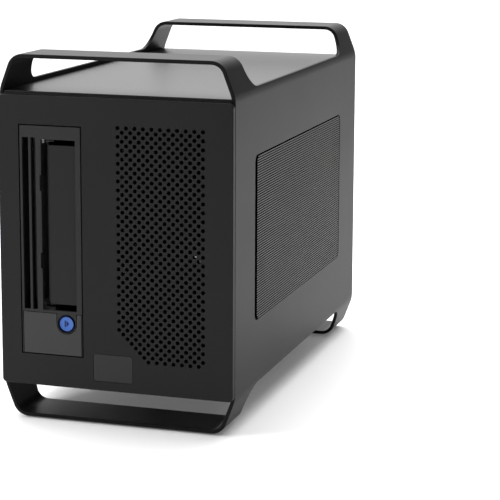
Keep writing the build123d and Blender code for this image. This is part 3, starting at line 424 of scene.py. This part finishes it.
def merged_copy(node, name):
    """A copy of a node's mesh with its triangles merged into whole faces."""
    piece = bpy.data.objects.new(name, frame["nodes"][node].data.copy())
    bpy.context.scene.collection.objects.link(piece)
    only(piece)
    bpy.ops.object.mode_set(mode="EDIT")
    bpy.ops.mesh.select_all(action="SELECT")
    bpy.ops.mesh.remove_doubles(threshold=0.002 * mm)
    bpy.ops.mesh.dissolve_limited(angle_limit=math.radians(0.5), delimit=set())
    bpy.ops.mesh.select_all(action="DESELECT")
    leave_edit_mode()
    return piece


def dress(node, finish, edge=0.2, cutters=()):
    """A softened copy of a node, in its own finish, with any further cuts made first."""
    piece = merged_copy(node, node + "_softened")
    cut(piece, *cutters)
    soften(piece, edge)
    seat(piece, node, finish)
    return piece


print("finishing helpers ready")

# %% Blocks, turned parts and cuts


def start_block(name, low, high):
    """A cube primitive between two corners in millimetres."""
    bpy.ops.object.select_all(action="DESELECT")
    middle = [(a + b) / 2 * mm for a, b in zip(low, high)]
    bpy.ops.mesh.primitive_cube_add(size=1, location=middle)
    piece = bpy.context.active_object
    piece.scale = [abs(b - a) * mm for a, b in zip(low, high)]
    piece.name = name
    return settle(piece)


def rounded_block(name, low, high, axis, corner):
    """A block whose four edges along one axis are rounded."""
    piece = start_block(name, low, high)
    pick(piece, "EDGE", lambda at, edge: abs((edge.verts[0].co - edge.verts[1].co)[axis]) > 0.1 * mm)
    bpy.ops.mesh.bevel(offset=corner * mm, segments=6)
    leave_edit_mode()
    return piece


def turned(name, at, steps, sides=48):
    """A round part along y, from steps of a radius and a depth.

    Each step extrudes the end face to its depth and scales it to its radius.
    """
    (radius, depth), (next_radius, next_depth) = steps[:2]
    bpy.ops.object.select_all(action="DESELECT")
    bpy.ops.mesh.primitive_cylinder_add(
        vertices=sides,
        radius=radius * mm,
        depth=abs(next_depth - depth) * mm,
        location=(at[0] * mm, (depth + next_depth) / 2 * mm, at[1] * mm),
        rotation=(math.radians(90), 0, 0),
    )
    piece = settle(bpy.context.active_object)
    piece.name = name
    pick(piece, "FACE", lambda middle, face: abs(middle.y - next_depth) < 0.001)
    for step_radius, step_depth in steps[1:]:
        if step_depth != next_depth or step_radius != next_radius:
            bpy.ops.mesh.extrude_region_move(
                TRANSFORM_OT_translate={"value": (0, (step_depth - next_depth) * mm, 0)}
            )
        scale = step_radius / radius
        middle = (at[0] * mm, step_depth * mm, at[1] * mm)
        bpy.ops.transform.resize(value=(scale, 1, scale), center_override=middle)
        radius, next_radius, next_depth = step_radius, step_radius, step_depth
    leave_edit_mode()
    return piece


def cut(piece, *cutters, operation="DIFFERENCE"):
    """Take the cutters away from a piece, or keep what they share with it."""
    for cutter in cutters:
        add_modifier(piece, "BOOLEAN", operation=operation, object=cutter, solver="EXACT")
        bpy.data.objects.remove(cutter)


def corners_of(node):
    """The node's lowest and highest corners in millimetres."""
    low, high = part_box(node)
    return [v / mm for v in low], [v / mm for v in high]


def copy_to(piece, name, x=0.0, y=0.0, z=0.0):
    """A copy with its own mesh, moved by so many millimetres."""
    copy = piece.copy()
    copy.data = piece.data.copy()
    copy.name = name
    copy.location = (x * mm, y * mm, z * mm)
    bpy.context.scene.collection.objects.link(copy)
    return settle(copy)


print("modelling helpers ready")

# %% [markdown]
# The front panel is a thick aluminium plate. Its corners are rounded, its front
# edge is broken, and a field of round vents fills the right half, with the
# lower left corner of the field cut on a slope. Modelling the plate first and
# punching all the vents with one joined cutter is how the real one is made.

# %% The front panel plate
panel_low, panel_high = corners_of("front_panel")
front_y = panel_low[1]
panel_corner, panel_edge = 3.0, 0.8
panel = rounded_block("vented_panel", panel_low, panel_high, 1, panel_corner)
pick(panel, "EDGE", lambda at, edge: abs(at.y - front_y) < 0.01)
bpy.ops.mesh.bevel(offset=panel_edge * mm, segments=3)
leave_edit_mode()
drive_low, drive_high = corners_of("drive_bezel")
opening_gap = 0.7
past = 5.0
opening_low = (drive_low[0] - opening_gap, front_y - past, drive_low[2] - opening_gap)
opening_high = (drive_high[0] + opening_gap, panel_high[1] + past, drive_high[2] + opening_gap)
badge_low, badge_high, badge_corner = (-14.9, 29.8), (11.8, 47.8), 1.6
pocket_depth, badge_thickness, badge_gap = 0.5, 0.38, 0.22
pocket = rounded_block(
    "badge_pocket",
    (badge_low[0], front_y - 1, badge_low[1]),
    (badge_high[0], front_y + pocket_depth, badge_high[1]),
    1,
    badge_corner,
)
cut(panel, start_block("opening_cutter", opening_low, opening_high), pocket)
print("panel plate", len(panel.data.polygons), "faces")

# %% The round vents
vent_radius, vent_pitch, vent_start = 1.25, 5.6, (2.93, 193.5)
vent_places = []
vent_columns, vent_rows, first_rows = 21, 27, 24
for column in range(vent_columns):
    for row in range(min(vent_rows, first_rows + column // 2)):
        drop = vent_pitch / 2 * (column % 2) + row * vent_pitch
        vent_places.append((vent_start[0] + column * vent_pitch / 2, vent_start[1] - drop))
mouth_radius, mouth_start, mouth_end = vent_radius * 1.16, -1.8, -2.05
punch_reach, plate_middle = 4.0, front_y + 2.0
punch_steps = [
    (vent_radius, punch_reach),
    (vent_radius, mouth_start),
    (mouth_radius, mouth_end),
    (mouth_radius, -punch_reach),
]
punch = turned("vent_punch", (0, 0), punch_steps, sides=12)
punches = [copy_to(punch, "vent_punch", x, plate_middle, z) for x, z in vent_places]
bpy.data.objects.remove(punch)
only(*punches)
bpy.ops.object.join()
cut(panel, punches[0])
soften(panel, 0, angle=40)
seat(panel, "front_panel", panel_finish)
print("vents", len(vent_places), "panel faces", len(panel.data.polygons))

# %% [markdown]
# Low on the panel sits a small inlaid plate. It stays blank here: only its
# pocket, its rounded outline and its slightly smoother finish are made, from
# a block whose edges are beveled and which is set just under the surface.

# %% The blank inlay
inlay_back = front_y + pocket_depth
inlay = rounded_block(
    "blank_inlay",
    (badge_low[0] + badge_gap, inlay_back - badge_thickness, badge_low[1] + badge_gap),
    (badge_high[0] - badge_gap, inlay_back, badge_high[1] - badge_gap),
    1,
    badge_corner - badge_gap,
)
soften(inlay, 0.1)
coat(inlay, badge_finish)
attach(inlay, "front_panel")
print("the inlay is", round(badge_high[0] - badge_low[0], 1), "mm wide")

# %% [markdown]
# The side grilles look like finely ribbed panels: thin satin ribs over a
# ground painted near black as painted shade, almost flush with the sleeve,
# with wider bands of that painted shade at the front and the top. One rib is
# shaped from a block, an Array repeats it, and a rounded block keeps the part
# of the field inside the window. Every face that doesn't look outwards gets
# the same painted shade, which stands in for the shade of a deep slot.

# %% The ribbed side grilles
rib_pitch, rib_width, rib_rise, grille_corner = 1.6, 0.86, 1.6, 4.35
# The front and top lands leave wide bands of the black ground bare: painted shadow along those edges.
front_land, rear_land, top_land, low_land = 5.0, 0.15, 0.95, 0.15
below_sleeve, field_corner, rib_edge, rib_overlap, far = 0.2, 3.6, 0.16, 0.1, 100
sleeve_half_width = corners_of("outer_sleeve")[1][0]
for side, node in ((-1, "side_grille_left"), (1, "side_grille_right")):
    low, high = corners_of(node)
    crest_x = side * (sleeve_half_width - below_sleeve)
    ground_x = crest_x - side * rib_rise
    back_x = low[0] if side > 0 else high[0]
    xs = sorted((back_x, ground_x))
    ground = rounded_block(
        "ribbed_" + node, (xs[0], low[1], low[2]), (xs[1], high[1], high[2]), 0, grille_corner
    )
    # The ground is painted near black: painted shade standing in for the shade of the slots.
    coat(ground, groove_painted_shade)
    field_low = (-far, low[1] + front_land, low[2] + low_land)
    field_high = (far, high[1] - rear_land, high[2] - top_land)
    xs = sorted((ground_x - side * rib_overlap, crest_x))
    rib_low = (xs[0], low[1], field_high[2] - rib_width)
    rib = start_block("rib", rib_low, (xs[1], high[1], field_high[2]))
    pick(rib, "EDGE", lambda at, edge: abs(at.x - crest_x) < 0.01 and abs(at.y) < 1)
    bpy.ops.mesh.bevel(offset=rib_edge * mm, segments=2)
    leave_edit_mode()
    ribs = int((field_high[2] - field_low[2]) / rib_pitch) + 1
    down = (0, 0, -rib_pitch * mm)
    settings = {"use_relative_offset": False, "use_constant_offset": True}
    add_modifier(rib, "ARRAY", count=ribs, constant_offset_displace=down, **settings)
    cut(rib, rounded_block("rib_field", field_low, field_high, 0, field_corner), operation="INTERSECT")
    coat(rib, grille_finish)
    # The rib flanks get the same painted shade.
    paint(rib, groove_painted_shade, lambda at, face: abs(face.normal.x) < 0.3)
    only(ground, rib)
    bpy.ops.object.join()
    soften(ground, 0, angle=30)
    seat(ground, node)
print("each grille has", ribs, "ribs")

# %% [markdown]
# The sleeve, the box and the other outer parts already have their true form,
# so they are only merged and softened. The edge size follows how each part is
# made: a deburred sheet has a small radius and a moulding a larger one.

# %% Sleeve, box and rear
dress("outer_sleeve", sleeve_finish, 0.5)
dress("foot_pads", pad_finish, 0.3)
dress("chassis_tray", box_finish, 0.15)
dress("chassis_cover", box_finish, 0.3)
dress("rear_panel", box_finish, 0.2)
print("dressed the sleeve and the box")

# %% [markdown]
# The drive's own face has three mouldings: the bezel with two tall slots, the
# lighter control panel under it, and the door that a tape cartridge pushes
# open. Two small notches are cut into the left edge of the opening, and the
# round dish behind the button is darker than the rest.

# %% Bezel, control panel and door
gap_left, notch_depth, notch_reach = -49.0, 1.0, 4.0
notch_heights = ((100.8, 111.0), (151.0, 161.4))
notches = []
for low_z, high_z in notch_heights:
    corner = (gap_left - notch_depth, drive_low[1] - 1, low_z)
    notches.append(start_block("notch", corner, (gap_left + 1, drive_low[1] + notch_reach, high_z)))
bezel = dress("drive_bezel", bezel_finish, 0.15, notches)
button_low, button_high = corners_of("eject_button")
button_at = ((button_low[0] + button_high[0]) / 2, (button_low[2] + button_high[2]) / 2)
dish_radius, dish_depth = 6.13, 3.0


def inside_dish(at, face):
    """A face of the dish behind the button, all of whose corners lie inside its rim."""
    reach = [math.hypot(v.co.x / mm - button_at[0], v.co.z / mm - button_at[1]) for v in face.verts]
    return max(reach) < dish_radius and at.y < drive_low[1] + dish_depth


paint(bezel, dish_finish, inside_dish)
dress("control_panel", control_finish, 0.25)
dress("cartridge_door", door_finish, 0.2)
print("the bezel has", len(bezel.data.polygons), "faces")

# %% [markdown]
# The eject button is a turned blue cap with a narrow rim and a shallow dish,
# on a flange and a stem. It is grown from one cylinder: each step extrudes
# the end face and scales it, as a lathe would. Its wall, flange and stem get
# a darker blue than its face: painted shade on the same plastic. Its mark is
# a bar and a triangle, the general sign for eject, which lies on its side as
# the drive does.

# %% The eject button
stem_radius, flange_radius, cap_radius = 2.4, 6.0, 4.85
flange_back, flange_front, cap_edge = -148.2, -149.2, -151.7
button_steps = [
    (stem_radius, button_high[1]),
    (stem_radius, flange_back),
    (flange_radius, flange_back),
    (flange_radius, flange_front),
    (cap_radius, flange_front),
    (cap_radius, cap_edge),
    (4.60, front_y),
    (4.30, front_y),
    (4.05, cap_edge),
    (2.80, -151.56),
    (1.20, -151.5),
]
button = turned("eject_button_cap", button_at, button_steps)
soften(button, 0, angle=30)
seat(button, "eject_button", button_finish)
disc_radius, mark_depth = 4.6, (-151.72, -151.3)


def outside_disc(at, face):
    """A face of the button's wall, flange or stem."""
    return math.hypot(at.x - button_at[0], at.z - button_at[1]) > disc_radius


# The wall, flange and stem are painted a darker blue: painted shade.
paint(button, button_wall_painted_shade, outside_disc)
bar_start, bar_end, bar_half_height = -1.60, -0.75, 2.1
triangle_radius, triangle_place, triangle_stretch = 1.2, 0.35, 2.0
bar = start_block(
    "button_mark",
    (button_at[0] + bar_start, mark_depth[0], button_at[1] - bar_half_height),
    (button_at[0] + bar_end, mark_depth[1], button_at[1] + bar_half_height),
)
bpy.ops.object.select_all(action="DESELECT")
bpy.ops.mesh.primitive_cylinder_add(
    vertices=3,
    radius=triangle_radius * mm,
    depth=(mark_depth[1] - mark_depth[0]) * mm,
    location=((button_at[0] + triangle_place) * mm, sum(mark_depth) / 2 * mm, button_at[1] * mm),
    rotation=(math.radians(90), math.radians(90), 0),
)
triangle = bpy.context.active_object
triangle.scale = (triangle_stretch, 1.0, 1.0)
settle(triangle)
only(bar, triangle)
bpy.ops.object.join()
soften(bar, 0.06)
coat(bar, symbol_finish)
attach(bar, "eject_button")
print("button at", [round(v, 1) for v in button_at])

# %% [markdown]
# The screws of the rear panel and of the fan have a domed head with a cross
# recess. One screw is turned, its recess is cut with two thin blocks, and it
# is then copied to every place where the construction model has a screw. The
# dome is given as shares of the head's radius at heights over its seat.

# %% Cross-recess screws


def solids_of(node):
    """The lowest and highest corner of each separate solid of a node, in millimetres."""
    only(merged_copy(node, "solids"))
    bpy.ops.mesh.separate(type="LOOSE")
    boxes = []
    for part in list(bpy.context.selected_objects):
        rows = list(zip(*[v.co / mm for v in part.data.vertices]))
        boxes.append(([min(row) for row in rows], [max(row) for row in rows]))
        bpy.data.objects.remove(part)
    return boxes


head_radius, head_room = 2.8, 1.8
head_dome = ((1.0, 0.8), (0.86, 1.35), (0.5, 1.75))
shank_radius, tip_taper = 1.45, 0.3
recess_width, recess_reach, recess_depth = 0.55, 1.55, 1.1
for node in ("rear_panel_screws", "fan_screws"):
    boxes = solids_of(node)
    tip, top = boxes[0][0][1], boxes[0][1][1]
    seat_y = top - head_room
    steps = [
        (shank_radius - tip_taper, tip),
        (shank_radius - tip_taper, tip + 0.05),
        (shank_radius, tip + 0.4),
        (shank_radius, seat_y),
        (head_radius, seat_y),
    ]
    steps += [(head_radius * share, seat_y + height) for share, height in head_dome]
    screw = turned("screw", (0, 0), steps, sides=24)
    arms = []
    for arm_x, arm_z in ((recess_width / 2, recess_reach), (recess_reach, recess_width / 2)):
        low, high = (-arm_x, top - recess_depth, -arm_z), (arm_x, top + 1, arm_z)
        arms.append(start_block("recess", low, high))
    cut(screw, *arms)
    soften(screw, 0.06)
    copies = []
    for low, high in boxes:
        copies.append(copy_to(screw, node + "_copy", (low[0] + high[0]) / 2, 0, (low[2] + high[2]) / 2))
    bpy.data.objects.remove(screw)
    only(*copies)
    bpy.ops.object.join()
    copies[0].name = node + "_crossed"
    seat(copies[0], node, screw_finish)
    print(node, len(boxes), "screws")

# %% [markdown]
# A torsion spring round the door's pin brings the door back. The construction
# model has the sleeve that its close turns fill; here it becomes real wire. A
# small circle is the wire's section, and a Screw modifier winds it.

# %% The door spring
spring_low, spring_high = corners_of("door_spring")
wire, turns = 0.15, 34
coil_radius = (spring_high[0] - spring_low[0]) / 2 - wire
bpy.ops.object.select_all(action="DESELECT")
bpy.ops.mesh.primitive_circle_add(
    vertices=8, radius=wire * mm, location=(coil_radius * mm, 0, 0), rotation=(math.radians(90), 0, 0)
)
spring = settle(bpy.context.active_object)
spring.name = "door_spring_wire"
rise = (spring_high[2] - spring_low[2] - 2 * wire) / turns
settings = {"axis": "Z", "iterations": turns, "steps": 14, "render_steps": 14}
add_modifier(spring, "SCREW", angle=math.tau, screw_offset=rise * mm, **settings)
only(spring)
bpy.ops.object.mode_set(mode="EDIT")
bpy.ops.mesh.select_all(action="SELECT")
bpy.ops.mesh.fill_holes(sides=8)
bpy.ops.mesh.normals_make_consistent(inside=False)
leave_edit_mode()
middle = [(a + b) / 2 for a, b in zip(spring_low, spring_high)]
spring.location = (middle[0] * mm, middle[1] * mm, (spring_low[2] + wire) * mm)
settle(spring)
soften(spring, 0, angle=60)
seat(spring, "door_spring", pin_finish)
print("the spring has", turns, "turns")

# %% [markdown]
# Inside the drive, a sheet tray carries the tape cartridge between two
# runners, a cast base holds the reels, the rollers and the head, and a folded
# cage holds the whole drive in the box. Their forms come from the
# construction model; each gets the finish of its own process. The base's
# front edge is painted black as painted shade, since it would shine through
# the bezel's slots, and the cage's front lip is painted bright metal as a
# painted glint.

# %% The drive's mechanism
tray = dress("loader_tray", tray_finish, 0.12)
tray_low, tray_high = corners_of("loader_tray")
runner = 1.9
paint(tray, runner_finish, lambda at, face: not tray_low[2] + runner < at.z < tray_high[2] - runner)
mechanism = {
    "drive_base": (cast_finish, 0.25),
    "drive_cover": (steel_finish, 0.15),
    "drive_cage": (cage_finish, 0.15),
    "reel_motor": (steel_finish, 0.12),
    "takeup_motor": (steel_finish, 0.12),
    "reel_clutch": (pale_finish, 0.15),
    "takeup_reel": (pale_finish, 0.2),
    "tape_head": (head_finish, 0.15),
    "threading_arm": (steel_finish, 0.15),
}
for number in range(1, 5):
    mechanism[f"guide_roller_{number}"] = (roller_finish, 0.25)
for node, (finish, edge) in mechanism.items():
    dress(node, finish, edge)
painted_shade_edge, lip_reach, lip_start_x = 0.3, 1.5, -10.0
base_front = corners_of("drive_base")[0][1]
base = bpy.data.objects["drive_base_softened"]
# The base's front edge is painted black: painted shade where it would shine through the slots.
paint(base, component_finish, lambda at, face: at.y < base_front + painted_shade_edge)
lip_depth = corners_of("drive_cage")[0][1] + lip_reach
cage = bpy.data.objects["drive_cage_softened"]
# The cage's front lip is painted bright metal: a painted glint seen through the vents.
paint(cage, lip_painted_glint, lambda at, face: at.y < lip_depth and at.x > lip_start_x)
for node in ("door_pin", "roller_pins", "head_shafts", "arm_post"):
    coat(frame["nodes"][node], pin_finish)
for node in ("front_panel_screws", "cage_screws"):
    coat(frame["nodes"][node], screw_finish)
coat(frame["nodes"]["switch_plunger"], pale_finish)
print("dressed", len(mechanism) + 1, "parts of the mechanism")

# %% [markdown]
# The rear carries the fan, the mains inlet with its three pins, the rocker
# switch and two data ports. The pins and the contact tongues are metal and
# black plastic in one moulding, so their faces are picked by place and given
# a second finish.

# %% Fan, inlet, switch and ports
dress("fan_frame", plastic_finish, 0.3)
dress("fan_rotor", component_finish, 0.15)
dress("switch_body", plastic_finish, 0.2)
dress("power_rocker", component_finish, 0.35)
inlet = dress("power_inlet", plastic_finish, 0.2)
inlet_low, inlet_high = corners_of("power_inlet")
inlet_x, inlet_z = [(inlet_low[axis] + inlet_high[axis]) / 2 for axis in (0, 2)]
pin_places = ((-7, -2), (0, -6), (7, -2))
pin_half_width, pin_half_height, pin_depth, pin_recess = 1.1, 2.1, 16, 2


def on_pin(at, face):
    """A face of one of the three pins, the middle one of which stands lower."""
    if not inlet_high[1] - pin_depth < at.y < inlet_high[1] - pin_recess:
        return False
    for place, level in pin_places:
        across, above = abs(at.x - inlet_x - place), abs(at.z - inlet_z - level)
        if across < pin_half_width and above < pin_half_height:
            return True
    return False


paint(inlet, pin_finish, on_pin)
ports = dress("data_ports", port_finish, 0.08)
port_low, port_high = corners_of("data_ports")
tongue_low, tongue_high = port_low[2] + 1.4, port_low[2] + 2.6
tongue_end = port_high[1] - 1
paint(ports, component_finish, lambda at, face: tongue_low < at.z < tongue_high and at.y < tongue_end)
print("dressed the rear parts")

# %% [markdown]
# A sheet of black filter foam in a thin rim stands on the fan's intake side,
# and another lies behind the slots of the rear panel, so no daylight shows
# through the front vents: dark sheets put in to keep the inside in shade.
# Each is a block whose broad faces are inset and pushed in, and the sunk
# faces get a coarse, very dark finish that is painted shade.

# %% The dust filters, which keep the inside in shade
filter_thickness, filter_rim, filter_sink = 1.2, 3.0, 0.3
filter_corner, filter_edge = 4.0, 0.1
fan_low, fan_high = corners_of("fan_frame")
fan_filter_low = (fan_low[0], fan_low[1] - filter_thickness, fan_low[2])
fan_filter_high = (fan_high[0], fan_low[1], fan_high[2])
slots_low, slots_high = (-72.0, 143.6, 78.0), (-20.0, 144.8, 178.0)
filters = {
    "fan_filter": ("fan_frame", fan_filter_low, fan_filter_high),
    "slot_filter": ("rear_panel", slots_low, slots_high),
}
for name, (node, low, high) in filters.items():
    foam = rounded_block(name, low, high, 1, filter_corner)
    pick(foam, "FACE", lambda at, face: abs(face.normal.y) > 0.9)
    bpy.ops.mesh.inset(thickness=filter_rim * mm, depth=-filter_sink * mm)
    leave_edit_mode()
    soften(foam, filter_edge)
    coat(foam, plastic_finish)
    sunk = (low[1] + filter_sink / 2, high[1] - filter_sink / 2)
    # The sunk faces are painted near black: painted shade.
    paint(foam, foam_painted_shade, lambda at, face: abs(face.normal.y) > 0.9 and sunk[0] < at.y < sunk[1])
    attach(foam, node)
    print(name, "is", round(high[0] - low[0], 1), "mm wide")

# %% [markdown]
# Boards carry parts of other materials: chips, a heat sink, a transformer and
# capacitors. Each board is one solid, so its parts are told from the board by
# their place, and each kind gets its own finish. A part starts just past the
# board's own thickness.

# %% Boards and power supply
past_board, supply_feet = 1.55, 4.0
drive_board = dress("drive_board", drive_board_finish, 0.08)
board_x = corners_of("drive_board")[0][0]
chips_end, connector_start = board_x + 0.85, board_x + 2.5
paint(drive_board, component_finish, lambda at, face: not chips_end <= at.x <= connector_start)
front_board = dress("front_board", front_board_finish, 0.08)
switch_back = corners_of("front_board")[1][1] - past_board
paint(front_board, component_finish, lambda at, face: at.y < switch_back)
controller = dress("controller_board", flat_board_finish, 0.08)
sink_level = corners_of("controller_board")[0][2] + past_board
paint(controller, steel_finish, lambda at, face: at.z > sink_level)
coat(frame["nodes"]["board_posts"], brass_finish)
supply_board = dress("supply_board", flat_board_finish, 0.08)
supply_low, supply_high = corners_of("supply_board")
parts_level = supply_low[2] + supply_feet + past_board
core_middle, core_half = (supply_low[1] + supply_high[1]) / 2, 14.5
core_front, core_back = core_middle - core_half, core_middle + core_half


def on_core(at, face):
    """A face of the transformer, which stands between the heat sink and the capacitors."""
    return at.z > parts_level and core_front < at.y < core_back


paint(supply_board, steel_finish, lambda at, face: at.z > parts_level and at.y < core_front)
paint(supply_board, component_finish, lambda at, face: at.z > parts_level and at.y > core_back)
paint(supply_board, winding_finish, on_core)
dress("power_supply", steel_finish, 0.15)
print("dressed the boards")

# %% [markdown]
# The floor is a large pale sheet, lit so that it stays white, and it glows a
# little more far behind the object, where the lamp overhead doesn't reach.
# The room is bright behind on the left and dim in front and on the right, so
# that the tops turn light at a flat angle while the front and the side stay
# dark, as in a studio with one large soft screen behind the object.

# %% Floor and room
bpy.ops.object.select_all(action="DESELECT")
bpy.ops.mesh.primitive_plane_add(size=12)
floor = bpy.context.active_object
floor.name = "studio_floor"
floor_finish = Finish("pale_floor", 0.9, specular=0.1)
floor_finish.set("Base Color", (0.9, 0.9, 0.9, 1.0))
floor_depth = floor_finish.split(floor_finish.place())[1]
far_start, far_end = 2.0, 4.0
far_light = floor_finish.ramp(floor_depth, far_start, far_end)
floor_finish.set("Emission Color", floor_finish.blend(far_light, grey(0.10), grey(0.90)))
floor_finish.set("Emission Strength", 1.0)
coat(floor, floor_finish)

world = bpy.data.worlds.new("studio_room")
bpy.context.scene.world = world
world.use_nodes = True
room = Graph(world.node_tree)
across, behind, above = room.split(room.node("TexCoord", output="Generated"))
screen = room.ramp(behind, -0.3, 0.7) * room.ramp(across, 0.35, -0.2)
screen_strength, ceiling_strength, wall_strength = 1.6, 0.25, 0.08
ceiling = room.ramp(above, 0.0, 0.9)
strength = screen * screen_strength + ceiling * ceiling_strength + wall_strength
background = room.tree.nodes["Background"]
room.tree.links.new(strength.socket, background.inputs["Strength"])
background.inputs["Color"].default_value = (1, 1, 1, 1)
print("floor and room ready")

# %% [markdown]
# Three round soft lamps light the scene. A wide one hangs overhead and a
# little behind, and keeps the floor white. Two small and weak ones stand in
# front, one at each side, so that the drive's face and the ribs stay readable.

# %% Lights


def soft_light(name, at, towards, size, power):
    """A round area lamp, with its place and size in metres and its power in watts."""
    bpy.ops.object.light_add(type="AREA", location=at)
    light = bpy.context.active_object
    light.name = name
    light.data.shape = "DISK"
    light.data.size = size
    light.data.energy = power
    light.rotation_euler = (Vector(towards) - Vector(at)).to_track_quat("-Z", "Y").to_euler()


soft_light("overhead", (-0.1, 0.7, 2.2), (0.0, 0.3, 0.0), 3.0, 95)
soft_light("front_left", (-0.5, -0.5, 0.4), (-0.08, -0.15, 0.12), 0.3, 2.8)
soft_light("right_front", (0.7, -0.8, 0.5), (0.08, -0.1, 0.12), 0.4, 0.7)
print("lights ready")

# %% [markdown]
# The camera stands where the photographer stood: its place, turn and lens
# were worked out from the edges of the object in the photograph. A small
# downward shift of the lens keeps the upright edges nearly parallel.

# %% Camera
camera_data = bpy.data.cameras.new("view")
camera = bpy.data.objects.new("view", camera_data)
bpy.context.scene.collection.objects.link(camera)
camera_data.lens = 132.02
camera_data.sensor_width = 36.0
camera_data.shift_y = -0.10
eye = Vector((416.0, -1203.4, 351.5)) * mm
turn, dip, lean = (math.radians(v) for v in (17.265, 10.210, 0.248))
back = Vector((math.sin(turn) * math.cos(dip), -math.cos(turn) * math.cos(dip), math.sin(dip)))
right = Vector((math.cos(turn), math.sin(turn), 0.0))
up = back.cross(right)
right, up = math.cos(lean) * right + math.sin(lean) * up, math.cos(lean) * up - math.sin(lean) * right
camera.matrix_world = Matrix.Translation(eye) @ Matrix((right, up, back)).transposed().to_4x4()
bpy.context.scene.camera = camera
bpy.context.scene.view_settings.view_transform = "Standard"
print("camera at", [round(v, 3) for v in eye])
